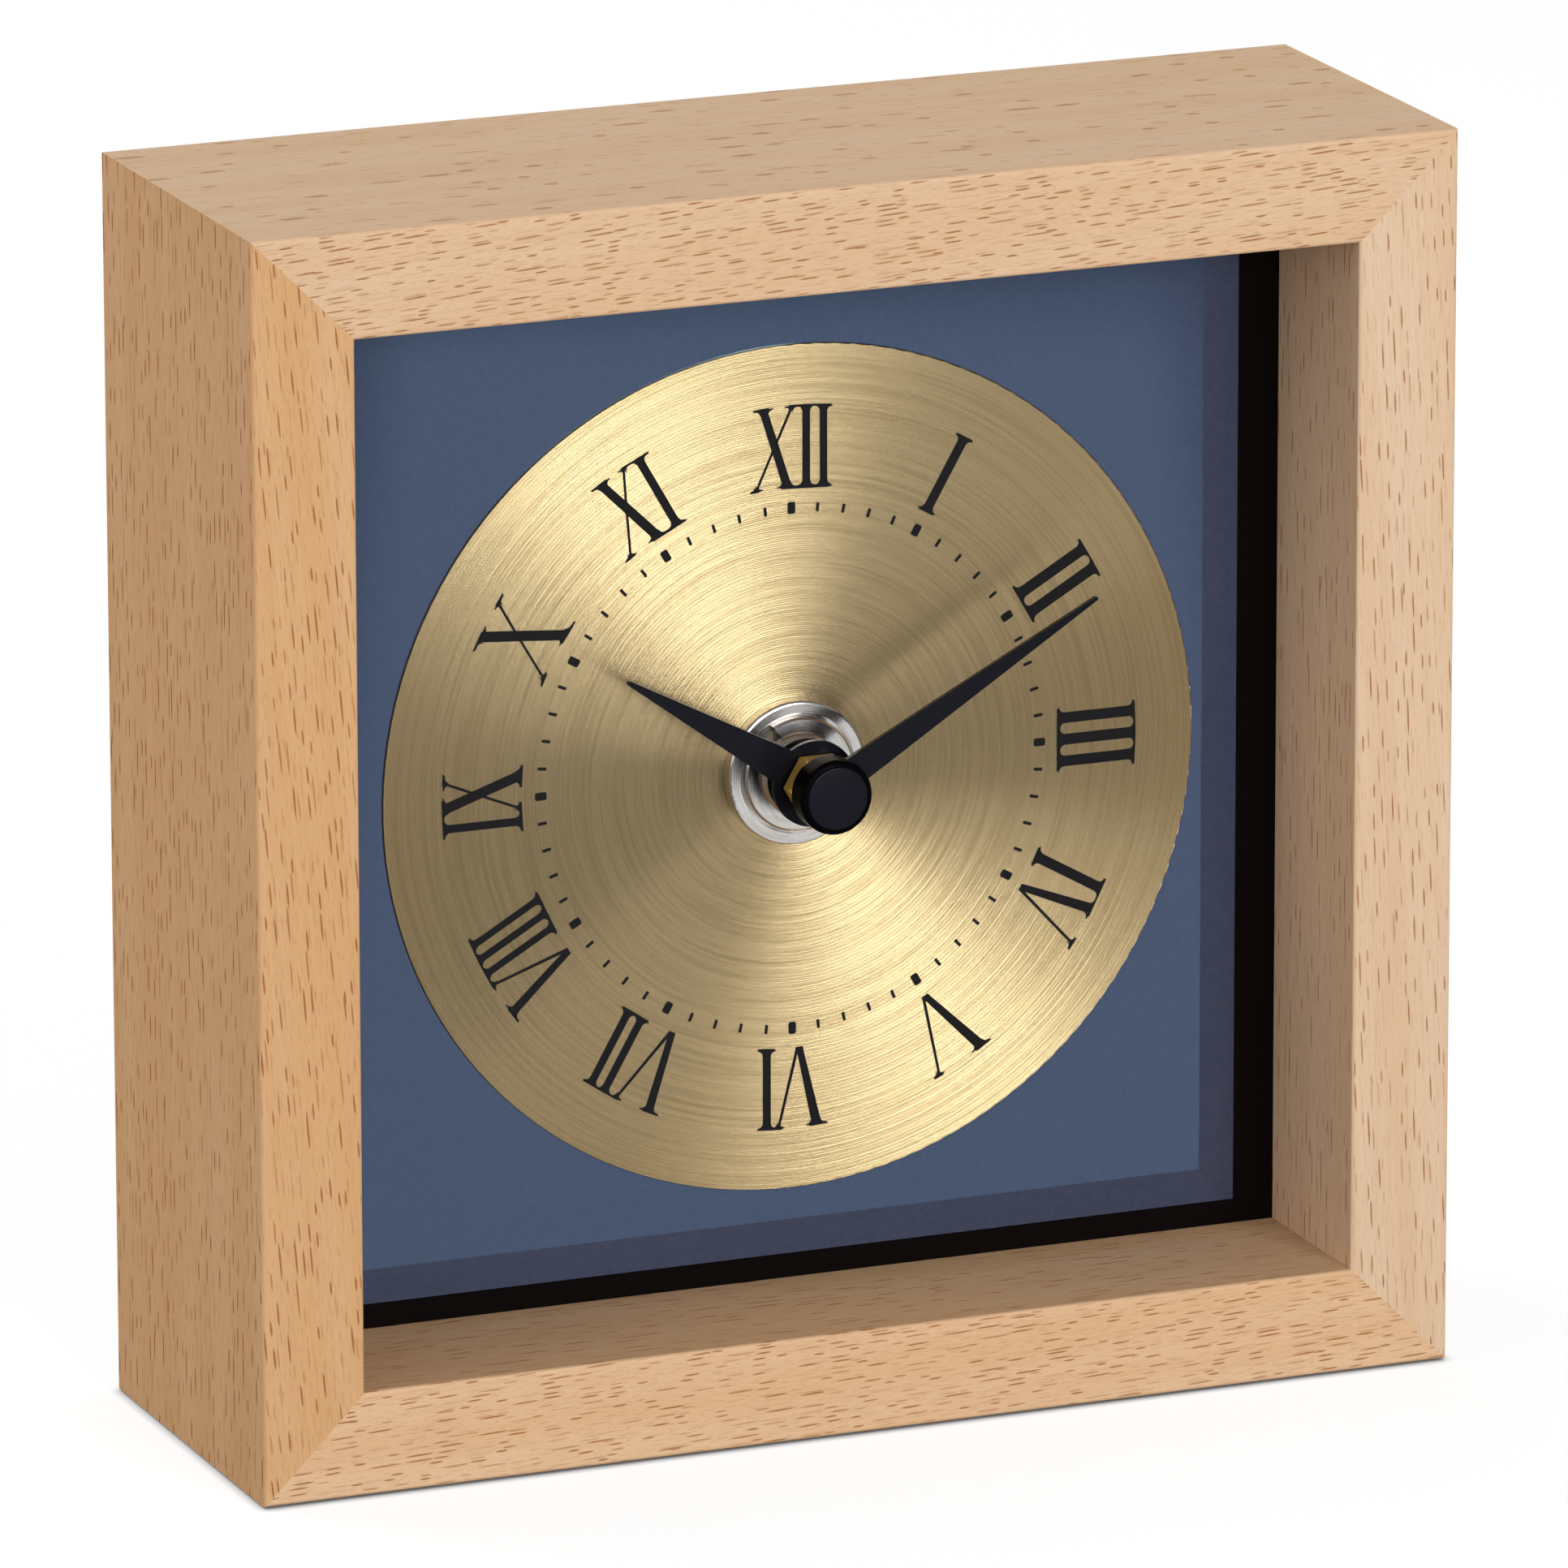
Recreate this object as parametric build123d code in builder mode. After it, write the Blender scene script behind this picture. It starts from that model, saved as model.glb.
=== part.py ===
from build123d import *
import os
from math import cos, radians, sin

# Table clock: a mitred beech box frame, a panel with a blue plate and a brass dial set back
# inside it, and a battery quartz movement behind the panel.
# Millimetres, +Z up, the dial faces -Y, the origin is the middle of the underside.

full_turn = 360.0
half_turn = full_turn / 2

# Sizes of the frame
case_width = 120.0
case_height = 120.0
case_depth = 40.0
board_thickness = 10.0
board_arris = 0.4             # rounding of the long edges
recess_depth = 18.4           # front edges to the backing board
groove_depth = 3.5            # how far the backing board lets into each board
groove_clearance = 0.2

# Sizes of the panel, plate and dial
backing_thickness = 3.0
plate_side_border = 4.3       # bare panel beside the plate
plate_end_border = 2.5        # bare panel over and under the plate
plate_thickness = 0.3
dial_border = 4.7             # bare plate beside the dial
dial_thickness = 0.3
dial_edge = 0.12              # rounding of the dial's front edge
bush_hole_clearance = 0.15    # radial, in the dial, the plate, the panel and the washer

# Sizes of the bush, the cup washer and the slotted nut
bush_diameter = 8.0
bush_stand = 3.0              # bush end above the dial
bush_edge = 0.3
cup_gap = 0.35                # round the nut
cup_floor = 0.4
cup_height = 1.5
cup_rim = 1.15
cup_edge = 0.35
nut_diameter = 11.0
nut_height = 1.7
nut_edge = 0.2
nut_slot_width = 1.7
nut_slot_depth = 1.1
nut_slots = 2
nut_slot_bearing = 128.0      # degrees anticlockwise from three o'clock

# Sizes of the hands
running_fit = 0.05            # radial clearance of every turning fit
hand_thickness = 0.5
hour_tube_diameter = 5.2
hour_collar_diameter = 6.4
hour_collar_length = 1.25
hour_collar_gap = 0.9         # bush end to collar
hour_hub_diameter = 8.3
hour_reach_share = 0.537      # of the dial's radius
hour_root_width = 4.0
hour_tip_width = 0.45
hour_hand_angle = 302.0       # degrees clockwise from twelve
hand_gap = 0.3                # hour hand to collet
minute_arbor_diameter = 3.3
collet_across_flats = 5.7
collet_length = 2.1
collet_edge = 0.3
minute_hub_diameter = 6.6
minute_reach_share = 0.776
minute_root_width = 3.2
minute_tip_width = 0.35
minute_hand_angle = 60.0
cap_diameter = 7.2
cap_height = 2.75
cap_front_edge = 0.5
cap_rear_edge = 0.25
cap_wall = 0.9                # end wall in front of the arbor

# Sizes of the movement's shell and cell
shell_wall = 1.2
shell_corner = 3.0
cell_diameter = 14.5
cell_length = 50.5            # with its button
cell_button_diameter = 5.5
cell_button_length = 1.2
cell_edge = 0.6
cell_clearance = 0.15
floor_clearance = 1.0         # under the wheels
side_clearance = 1.2          # beside the train plate
lip_height = 1.0
lip_thickness = 0.8
lip_clearance = 0.1
thumb_notch_radius = 6.0
cover_edge = 0.4              # rounding of the rear cover
boss_radius = 1.2
boss_height = 1.5
cut_overrun = 1.0

# Sizes of the wheels: tooth counts, modules, thicknesses and bearings in degrees
cannon_teeth = 10
motion_teeth = 30
motion_pinion_teeth = 8
hour_teeth = 32
set_teeth = 10
motion_module = 0.4
seconds_pinion_teeth = 8
third_teeth = 60
third_pinion_teeth = 8
centre_teeth = 64
third_module = 0.3
rotor_teeth = 8
intermediate_teeth = 40
intermediate_pinion_teeth = 8
seconds_teeth = 48
fast_module = 0.25
addendum_share = 0.7          # of the module
dedendum_share = 1.05
tip_share = 0.09              # half widths of a tooth, of the pitch
root_share = 0.25
crossings = 4
crossing_orbit_share = 0.58   # of the pitch radius
crossing_radius_share = 0.2
wheel_thickness = 0.7
hour_wheel_thickness = 1.0
pinion_margin = 0.2           # pinion past each face of its wheel
axial_gap = 0.3
axial_play = 0.1
arbor_radius = 0.5
pivot_radius = 0.3
pivot_length = 0.8
stud_radius = 0.6
minute_core_radius = 1.3
minute_pivot_radius = 0.9
clutch_radius = 3.0
clutch_thickness = 0.2
clutch_gap = 0.15
motion_bearing = 180.0
set_bearing = 130.0
third_bearing = 60.0
intermediate_bearing = -20.0
rotor_bearing = -10.0

# Sizes of the train plate and its posts, from the hand axis
train_plate_thickness = 1.0
train_plate_bottom = -9.8
stem_gap = 1.2                # setting stem to the plate
plate_margin = 1.5            # plate past the coil
post_gap = 1.7                # plate to the posts of the circuit board
train_post_radius = 1.3
train_post_inset = 1.6
arbor_hole_radius = 1.1

# Sizes of the stepping motor
magnet_radius = 2.6
magnet_length = 2.4
magnet_gap = 0.4              # round the magnet
stator_thickness = 0.8
stator_ring = 1.4
stator_arm = 2.4
core_width = 2.0
coil_gap = 2.0                # stator ring to coil
coil_top = 13.5               # ends of the core, from the hand axis
coil_bottom = -9.5
bobbin_radius = 2.6
barrel_radius = 1.5
winding_radius = 2.3
flange_thickness = 0.8
core_clearance = 0.05
stator_post_radius = 0.9

# Sizes of the circuit board, the crystal and the contacts
circuit_height = 9.0
circuit_thickness = 1.0
circuit_gap = 2.5             # coil to board
circuit_clearance = 1.8       # board to the top wall
circuit_stand = 8.9           # off the front wall
circuit_post_radius = 1.3
circuit_post_spread = 36.0
crystal_radius = 1.0
crystal_length = 6.0
crystal_offset = -5.0
contact_thickness = 0.4
contact_width = 3.0
contact_pad = 10.0
leaf_least_bow = 2.3
leaf_span = 8.0
leaf_width = 6.0
leaf_thickness = 0.3

# Sizes of the setting stem and knob
stem_radius = 0.9
stem_pivot_radius = 0.5
knob_diameter = 10.0
knob_thickness = 1.9
knob_gap = 0.3
knob_edge = 0.3
knob_flutes = 20
flute_radius = 0.45
knob_wall = 0.5
knob_dish_margin = 1.4        # dish in the rear cover, past the knob
knob_dish_depth = 0.5


def polar(distance, bearing, start=(0, 0)):
    return (start[0] + distance * cos(radians(bearing)), start[1] + distance * sin(radians(bearing)))


# Wheel centres, across and up from the hand axis
motion_distance = motion_module * (cannon_teeth + motion_teeth) / 2
hour_module = 2 * motion_distance / (motion_pinion_teeth + hour_teeth)
set_distance = motion_module * (motion_teeth + set_teeth) / 2
third_distance = third_module * (seconds_pinion_teeth + third_teeth) / 2
centre_module = 2 * third_distance / (third_pinion_teeth + centre_teeth)
intermediate_distance = fast_module * (intermediate_pinion_teeth + seconds_teeth) / 2
rotor_distance = fast_module * (rotor_teeth + intermediate_teeth) / 2
hand_spot = (0, 0)
motion_spot = polar(motion_distance, motion_bearing)
set_spot = polar(set_distance, set_bearing, motion_spot)
third_spot = polar(third_distance, third_bearing)
intermediate_spot = polar(intermediate_distance, intermediate_bearing)
rotor_spot = polar(rotor_distance, rotor_bearing, intermediate_spot)


# The phase that puts a gap of the driven wheel round a tooth of its driver
def mesh_phase(driver_teeth, driver_phase, bearing, driven_teeth):
    ratio = driver_teeth / driven_teeth
    return bearing + half_turn + half_turn / driven_teeth + (bearing - driver_phase) * ratio


cannon_phase = motion_bearing
motion_phase = mesh_phase(cannon_teeth, cannon_phase, motion_bearing, motion_teeth)
motion_pinion_phase = motion_bearing + half_turn
hour_phase = mesh_phase(motion_pinion_teeth, motion_pinion_phase, motion_pinion_phase, hour_teeth)
set_phase = mesh_phase(motion_teeth, motion_phase, set_bearing, set_teeth)
third_pinion_phase = third_bearing + half_turn
centre_phase = mesh_phase(third_pinion_teeth, third_pinion_phase, third_pinion_phase, centre_teeth)
seconds_pinion_phase = third_bearing
third_phase = mesh_phase(seconds_pinion_teeth, seconds_pinion_phase, third_bearing, third_teeth)
seconds_phase = intermediate_bearing
intermediate_pinion_phase = mesh_phase(
    seconds_teeth, seconds_phase, intermediate_bearing, intermediate_pinion_teeth
)
rotor_phase = rotor_bearing + half_turn
intermediate_phase = mesh_phase(rotor_teeth, rotor_phase, rotor_phase, intermediate_teeth)

# Places along the axis, from the dial side to the back
axis_height = case_height / 2
front_face = -case_depth / 2
rear_face = case_depth / 2
backing_front = front_face + recess_depth
backing_rear = backing_front + backing_thickness
plate_front = backing_front - plate_thickness
dial_front = plate_front - dial_thickness
bush_end = dial_front - bush_stand
cup_top = dial_front - cup_height
nut_rear = dial_front - cup_floor
nut_front = nut_rear - nut_height
hour_hand_rear = bush_end - hour_collar_gap - hour_collar_length
hour_hand_front = hour_hand_rear - hand_thickness
collet_rear = hour_hand_front - hand_gap
collet_front = collet_rear - collet_length
minute_hand_front = collet_front - hand_thickness
cap_front = minute_hand_front - cap_height
arbor_front = cap_front + cap_wall
movement_front = backing_rear
front_inner = movement_front + shell_wall

# The plate fills the opening but for its borders, and the dial fills the plate
opening_width = case_width - 2 * board_thickness
opening_height = case_height - 2 * board_thickness
plate_width = opening_width - 2 * plate_side_border
plate_height = opening_height - 2 * plate_end_border
dial_radius = min(plate_width, plate_height) / 2 - dial_border
hour_hand_length = hour_reach_share * dial_radius
minute_hand_length = minute_reach_share * dial_radius
cup_radius = nut_diameter / 2 + cup_gap + cup_rim

# Layers of the wheels
hour_front = front_inner + axial_gap
hour_rear = hour_front + hour_wheel_thickness
cannon_front = hour_rear + axial_gap
motion_front = cannon_front + pinion_margin
motion_rear = motion_front + wheel_thickness
cannon_rear = motion_rear + pinion_margin
centre_front = cannon_rear + axial_gap
centre_rear = centre_front + wheel_thickness
clutch_front = centre_rear + clutch_gap
clutch_rear = clutch_front + clutch_thickness
train_plate_front = clutch_rear + axial_gap
train_plate_rear = train_plate_front + train_plate_thickness
seconds_pinion_front = train_plate_rear + axial_gap
third_front = seconds_pinion_front + pinion_margin
third_rear = third_front + wheel_thickness
seconds_front = third_rear + axial_gap
seconds_rear = seconds_front + wheel_thickness
intermediate_front = seconds_rear + axial_gap
intermediate_rear = intermediate_front + wheel_thickness
rotor_pinion_front = intermediate_front - pinion_margin
rotor_pinion_rear = intermediate_rear + pinion_margin
magnet_front = rotor_pinion_rear + axial_gap
magnet_rear = magnet_front + magnet_length
stator_rear = (magnet_front + magnet_rear + stator_thickness) / 2
stator_front = stator_rear - stator_thickness
minute_arbor_rear = train_plate_rear - axial_play
circuit_front = front_inner + circuit_stand
circuit_rear = circuit_front + circuit_thickness

# The room that the train takes, across and up from the hand axis
stator_radius = magnet_radius + magnet_gap + stator_ring
coil_offset = rotor_spot[0] + stator_radius + coil_gap + bobbin_radius
circuit_lift = coil_top + circuit_gap + circuit_height / 2
train_plate_left = set_spot[0] + stem_radius + stem_gap
train_plate_right = coil_offset + bobbin_radius + plate_margin
train_plate_top = circuit_lift - circuit_post_radius - post_gap
centre_reach = centre_module * (centre_teeth / 2 + addendum_share)
train_floor = min(train_plate_bottom, coil_bottom, -centre_reach) - floor_clearance
train_ceiling = circuit_lift + circuit_height / 2 + circuit_clearance
train_room = train_ceiling - train_floor
train_end = max(magnet_rear + boss_height, circuit_rear + 2 * crystal_radius) + axial_gap

# The movement's shell grows from the cell and the train that it holds
cell_room = cell_diameter + 2 * cell_clearance
cell_half = (cell_length + leaf_least_bow) / 2 + contact_thickness
inner_half = max(cell_half, train_plate_right + side_clearance)
leaf_bow = 2 * (inner_half - contact_thickness) - cell_length
movement_width = 2 * (inner_half + shell_wall)
movement_rear = max(front_inner + cell_room, train_end + shell_wall)
rear_inner = movement_rear - shell_wall
bay_ceiling = train_floor - shell_wall
bay_floor = bay_ceiling - cell_room
shell_bottom = bay_floor - shell_wall
shell_top = train_ceiling + shell_wall
cell_spot = (bay_floor + bay_ceiling) / 2
cell_axis = front_inner + cell_room / 2
front_shoulder = front_inner + boss_height + axial_play
rear_shoulder = rear_inner - boss_height - axial_play
knob_front = movement_rear + knob_gap
knob_rear = knob_front + knob_thickness


# A plane across the hand axis that looks out of the dial, with X across and Z up,
# or turned clockwise by an angle
def facing(place, spot=(0, 0), clockwise=0):
    turn = radians(clockwise)
    return Plane(
        origin=(spot[0], place, axis_height + spot[1]),
        x_dir=(cos(turn), 0, -sin(turn)),
        z_dir=(0, -1, 0),
    )


# A round bar or hole along the axis, from its rear end to its front end
def round_bar(spot, rear, front, radius, mode=Mode.ADD):
    with BuildSketch(facing(rear, spot)) as section:
        Circle(radius)
    extrude(section.sketch, amount=rear - front, mode=mode)


# A wheel or pinion with straight-sided teeth
def toothed(spot, rear, front, teeth, module, phase):
    pitch_radius = teeth * module / 2
    tip_radius = pitch_radius + addendum_share * module
    root_radius = pitch_radius - dedendum_share * module
    flanks = (
        (-root_share, root_radius),
        (-tip_share, tip_radius),
        (tip_share, tip_radius),
        (root_share, root_radius),
    )
    pitch = full_turn / teeth
    corners = [
        polar(radius, phase + (tooth + share) * pitch)
        for tooth in range(teeth)
        for share, radius in flanks
    ]
    with BuildSketch(facing(rear, spot)) as blank:
        with BuildLine():
            Polyline(*corners, close=True)
        make_face()
    extrude(blank.sketch, amount=rear - front)


# Round openings that lighten a wheel
def crossed_out(spot, rear, front, pitch_radius):
    with BuildSketch(facing(rear, spot)) as openings:
        with PolarLocations(crossing_orbit_share * pitch_radius, crossings):
            Circle(crossing_radius_share * pitch_radius)
    extrude(openings.sketch, amount=rear - front, mode=Mode.SUBTRACT)


# An arbor between two shoulders, with a thinner pivot past each
def pivoted_arbor(spot, rear, front, radius, thin_radius):
    round_bar(spot, rear, front, radius)
    round_bar(spot, rear + pivot_length, front - pivot_length, thin_radius)


def finish(piece, label):
    piece.part.label = label
    export_step(piece.part, f"parts/{label}.step")


os.makedirs("parts", exist_ok=True)


# Frame boards: mitred prisms with a groove for the panel, long edges rounded
def frame_board(label, length, outer_edge, along, length_axis):
    plane = Plane(origin=outer_edge, x_dir=along, z_dir=(0, -1, 0))
    half = length / 2
    inner_half_length = half - board_thickness
    with BuildPart() as board:
        with BuildSketch(plane):
            with BuildLine():
                Polyline(
                    (-half, 0),
                    (half, 0),
                    (inner_half_length, board_thickness),
                    (-inner_half_length, board_thickness),
                    close=True,
                )
            make_face()
        extrude(amount=case_depth)
        with BuildSketch(plane.offset(rear_face - backing_rear - groove_clearance)):
            with Locations((0, board_thickness)):
                Rectangle(length, 2 * groove_depth)
        extrude(amount=backing_thickness + groove_clearance, mode=Mode.SUBTRACT)
        along_edges = board.edges().filter_by(length_axis).group_by(Axis.Y)
        fillet(along_edges[0] + along_edges[-1], board_arris)
    finish(board, label)


frame_board("frame_top", case_width, (0, rear_face, case_height), (-1, 0, 0), Axis.X)
frame_board("frame_bottom", case_width, (0, rear_face, 0), (1, 0, 0), Axis.X)
frame_board("frame_left", case_height, (-case_width / 2, rear_face, axis_height), (0, 0, -1), Axis.Z)
frame_board("frame_right", case_height, (case_width / 2, rear_face, axis_height), (0, 0, 1), Axis.Z)

# Backing board, let into the grooves
bush_hole_radius = bush_diameter / 2 + bush_hole_clearance
let_in = 2 * (groove_depth - groove_clearance)
with BuildPart() as backing_board:
    with BuildSketch(facing(backing_rear)):
        Rectangle(opening_width + let_in, opening_height + let_in)
        Circle(bush_hole_radius, mode=Mode.SUBTRACT)
    extrude(amount=backing_thickness)
finish(backing_board, "backing_board")

with BuildPart() as colour_plate:
    with BuildSketch(facing(backing_front)):
        Rectangle(plate_width, plate_height)
        Circle(bush_hole_radius, mode=Mode.SUBTRACT)
    extrude(amount=plate_thickness)
finish(colour_plate, "colour_plate")

with BuildPart() as dial_disc:
    with BuildSketch(facing(plate_front)):
        Circle(dial_radius)
    extrude(amount=dial_thickness)
    fillet(dial_disc.edges().group_by(Axis.Y)[0], dial_edge)
    round_bar(hand_spot, plate_front, dial_front, bush_hole_radius, mode=Mode.SUBTRACT)
finish(dial_disc, "dial_disc")

# Bush, cup washer and slotted nut
with BuildPart() as centre_bush:
    round_bar(hand_spot, front_inner, bush_end, bush_diameter / 2)
    chamfer(centre_bush.edges().group_by(Axis.Y)[0], bush_edge)
    round_bar(hand_spot, front_inner, bush_end, hour_tube_diameter / 2 + running_fit, mode=Mode.SUBTRACT)
finish(centre_bush, "centre_bush")

with BuildPart() as cup_washer:
    round_bar(hand_spot, dial_front, cup_top, cup_radius)
    fillet(cup_washer.edges().group_by(Axis.Y)[0], cup_edge)
    round_bar(hand_spot, nut_rear, cup_top, cup_radius - cup_rim, mode=Mode.SUBTRACT)
    round_bar(hand_spot, dial_front, nut_rear, bush_hole_radius, mode=Mode.SUBTRACT)
finish(cup_washer, "cup_washer")

with BuildPart() as centre_nut:
    round_bar(hand_spot, nut_rear, nut_front, nut_diameter / 2)
    chamfer(centre_nut.edges().group_by(Axis.Y)[0], nut_edge)
    round_bar(hand_spot, nut_rear, nut_front, bush_diameter / 2, mode=Mode.SUBTRACT)
    with BuildSketch(facing(nut_front + nut_slot_depth)):
        with PolarLocations(nut_diameter / 2, nut_slots, start_angle=nut_slot_bearing):
            Rectangle(nut_diameter / 2, nut_slot_width)
    extrude(amount=nut_slot_depth, mode=Mode.SUBTRACT)
finish(centre_nut, "centre_nut")


# Hands: a round hub and a blade that tapers to a small round tip
def hand_plate(rear, angle, hub_diameter, hole_radius, hand_length, root_width, tip_width):
    tip_radius = tip_width / 2
    shoulder = hand_length - tip_radius
    with BuildSketch(facing(rear, clockwise=angle)) as outline:
        with BuildLine():
            blade = Polyline(
                (-tip_radius, shoulder),
                (-root_width / 2, 0),
                (root_width / 2, 0),
                (tip_radius, shoulder),
            )
            ThreePointArc(blade @ 1, (0, hand_length), blade @ 0)
        make_face()
        Circle(hub_diameter / 2)
        Circle(hole_radius, mode=Mode.SUBTRACT)
    extrude(outline.sketch, amount=hand_thickness)


with BuildPart() as hour_hand:
    hand_plate(
        hour_hand_rear, hour_hand_angle, hour_hub_diameter, hour_tube_diameter / 2,
        hour_hand_length, hour_root_width, hour_tip_width,
    )
    with BuildSketch(facing(hour_hand_rear + hour_collar_length)):
        Circle(hour_collar_diameter / 2)
        Circle(hour_tube_diameter / 2, mode=Mode.SUBTRACT)
    extrude(amount=hour_collar_length)
finish(hour_hand, "hour_hand")

with BuildPart() as hand_collet:
    with BuildSketch(facing(collet_rear)):
        RegularPolygon(collet_across_flats / 2, 6, major_radius=False)
    extrude(amount=collet_length)
    chamfer(hand_collet.edges().group_by(Axis.Y)[0], collet_edge)
    round_bar(hand_spot, collet_rear, collet_front, minute_arbor_diameter / 2, mode=Mode.SUBTRACT)
finish(hand_collet, "hand_collet")

with BuildPart() as minute_hand:
    hand_plate(
        collet_front, minute_hand_angle, minute_hub_diameter, minute_arbor_diameter / 2,
        minute_hand_length, minute_root_width, minute_tip_width,
    )
finish(minute_hand, "minute_hand")

with BuildPart() as hand_cap:
    round_bar(hand_spot, minute_hand_front, cap_front, cap_diameter / 2)
    fillet(hand_cap.edges().group_by(Axis.Y)[0], cap_front_edge)
    fillet(hand_cap.edges().group_by(Axis.Y)[-1], cap_rear_edge)
    round_bar(hand_spot, minute_hand_front, arbor_front, minute_arbor_diameter / 2, mode=Mode.SUBTRACT)
finish(hand_cap, "hand_cap")

# Movement shell: one moulding with the wheel space above and the open cell bay below
train_posts = [
    (across, up)
    for across in (train_plate_left + train_post_inset, train_plate_right - train_post_inset)
    for up in (train_plate_bottom + train_post_inset, train_plate_top - train_post_inset)
]
circuit_posts = [(side * circuit_post_spread / 2, circuit_lift) for side in (-1, 1)]
with BuildPart() as movement_case:
    with BuildSketch(facing(movement_rear)):
        with Locations((0, (shell_bottom + shell_top) / 2)):
            RectangleRounded(movement_width, shell_top - shell_bottom, shell_corner)
    extrude(amount=movement_rear - movement_front)
    with BuildSketch(facing(movement_rear)):
        with Locations((0, (bay_ceiling + shell_top + cut_overrun) / 2)):
            Rectangle(movement_width + cut_overrun, shell_top + cut_overrun - bay_ceiling)
    extrude(amount=shell_wall, mode=Mode.SUBTRACT)
    with BuildSketch(facing(rear_inner)):
        with Locations((0, (train_floor + train_ceiling) / 2)):
            Rectangle(2 * inner_half, train_room)
    extrude(amount=rear_inner - front_inner, mode=Mode.SUBTRACT)
    with BuildSketch(facing(movement_rear)):
        with Locations((0, cell_spot)):
            Rectangle(2 * inner_half, bay_ceiling - bay_floor)
    extrude(amount=movement_rear - front_inner, mode=Mode.SUBTRACT)
    with BuildSketch(Plane.XY.offset(axis_height + shell_bottom)):
        with Locations((0, movement_rear)):
            Circle(thumb_notch_radius)
    extrude(amount=shell_wall, mode=Mode.SUBTRACT)
    with BuildSketch(facing(rear_inner)):
        for side in (-1, 1):
            with Locations((side * (inner_half - contact_thickness / 2), (bay_ceiling + train_floor) / 2)):
                Rectangle(contact_thickness, shell_wall)
    extrude(amount=rear_inner - circuit_front + contact_width, mode=Mode.SUBTRACT)
    round_bar(hand_spot, front_inner, movement_front, bush_diameter / 2, mode=Mode.SUBTRACT)
    for post in train_posts:
        round_bar(post, train_plate_front, front_inner, train_post_radius)
    for post in circuit_posts:
        round_bar(post, circuit_front, front_inner, circuit_post_radius)
    round_bar(motion_spot, motion_rear + axial_play, front_inner, stud_radius)
    for spot, hole_radius in (
        (third_spot, pivot_radius + running_fit),
        (set_spot, stem_pivot_radius + running_fit),
    ):
        round_bar(spot, front_inner + boss_height, front_inner, boss_radius)
        socket_end = front_shoulder - pivot_length - 2 * axial_play
        round_bar(spot, front_inner + boss_height, socket_end, hole_radius, mode=Mode.SUBTRACT)
finish(movement_case, "movement_case")

# Rear cover: a plate with a locating lip, pivot bosses inside and a hole for the setting stem
with BuildPart() as rear_cover:
    with BuildSketch(facing(movement_rear)):
        with Locations((0, (shell_bottom + shell_top) / 2)):
            RectangleRounded(movement_width, shell_top - shell_bottom, shell_corner)
        with Locations((0, (shell_bottom + bay_ceiling) / 2)):
            Rectangle(movement_width, bay_ceiling - shell_bottom, mode=Mode.SUBTRACT)
    extrude(amount=shell_wall)
    fillet(rear_cover.edges().group_by(Axis.Y)[-1], cover_edge)
    with BuildSketch(facing(rear_inner)):
        lip_width = 2 * (inner_half - lip_clearance)
        lip_room = train_room - 2 * lip_clearance
        with Locations((0, (train_floor + train_ceiling) / 2)):
            Rectangle(lip_width, lip_room)
            Rectangle(lip_width - 2 * lip_thickness, lip_room - 2 * lip_thickness, mode=Mode.SUBTRACT)
    extrude(amount=lip_height)
    for spot in (hand_spot, third_spot, intermediate_spot, rotor_spot):
        round_bar(spot, rear_inner, rear_inner - boss_height, boss_radius)
        socket_end = rear_shoulder + pivot_length + 2 * axial_play
        round_bar(spot, socket_end, rear_inner - boss_height, pivot_radius + running_fit, mode=Mode.SUBTRACT)
    round_bar(set_spot, movement_rear, rear_inner, stem_radius + running_fit, mode=Mode.SUBTRACT)
    dish_radius = knob_diameter / 2 + knob_dish_margin
    round_bar(set_spot, movement_rear, movement_rear - knob_dish_depth, dish_radius, mode=Mode.SUBTRACT)
finish(rear_cover, "rear_cover")

# Train plate on its four posts, with two posts of its own for the stator
stator_posts = [(coil_offset, coil_top - core_width / 2), (coil_offset, coil_bottom + core_width / 2)]
with BuildPart() as train_plate:
    with BuildSketch(facing(train_plate_rear)):
        middle = ((train_plate_left + train_plate_right) / 2, (train_plate_bottom + train_plate_top) / 2)
        with Locations(middle):
            Rectangle(train_plate_right - train_plate_left, train_plate_top - train_plate_bottom)
    extrude(amount=train_plate_thickness)
    for post in stator_posts:
        round_bar(post, stator_front, train_plate_rear, stator_post_radius)
    for spot, hole_radius in (
        (hand_spot, minute_pivot_radius + running_fit),
        (third_spot, arbor_hole_radius),
        (intermediate_spot, pivot_radius + running_fit),
        (rotor_spot, pivot_radius + running_fit),
    ):
        round_bar(spot, train_plate_rear, train_plate_front, hole_radius, mode=Mode.SUBTRACT)
finish(train_plate, "train_plate")

# Cell and its two contacts
cell_end = inner_half - contact_thickness
with BuildPart() as battery_cell:
    cell_tip = (cell_end, cell_axis, axis_height + cell_spot)
    cell_plane = Plane(origin=cell_tip, x_dir=(0, 1, 0), z_dir=(-1, 0, 0))
    with BuildSketch(cell_plane.offset(cell_button_length)):
        Circle(cell_diameter / 2)
    extrude(amount=cell_length - cell_button_length)
    fillet(battery_cell.edges().filter_by(GeomType.CIRCLE), cell_edge)
    with BuildSketch(cell_plane):
        Circle(cell_button_diameter / 2)
    extrude(amount=cell_button_length)
finish(battery_cell, "battery_cell")


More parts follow.
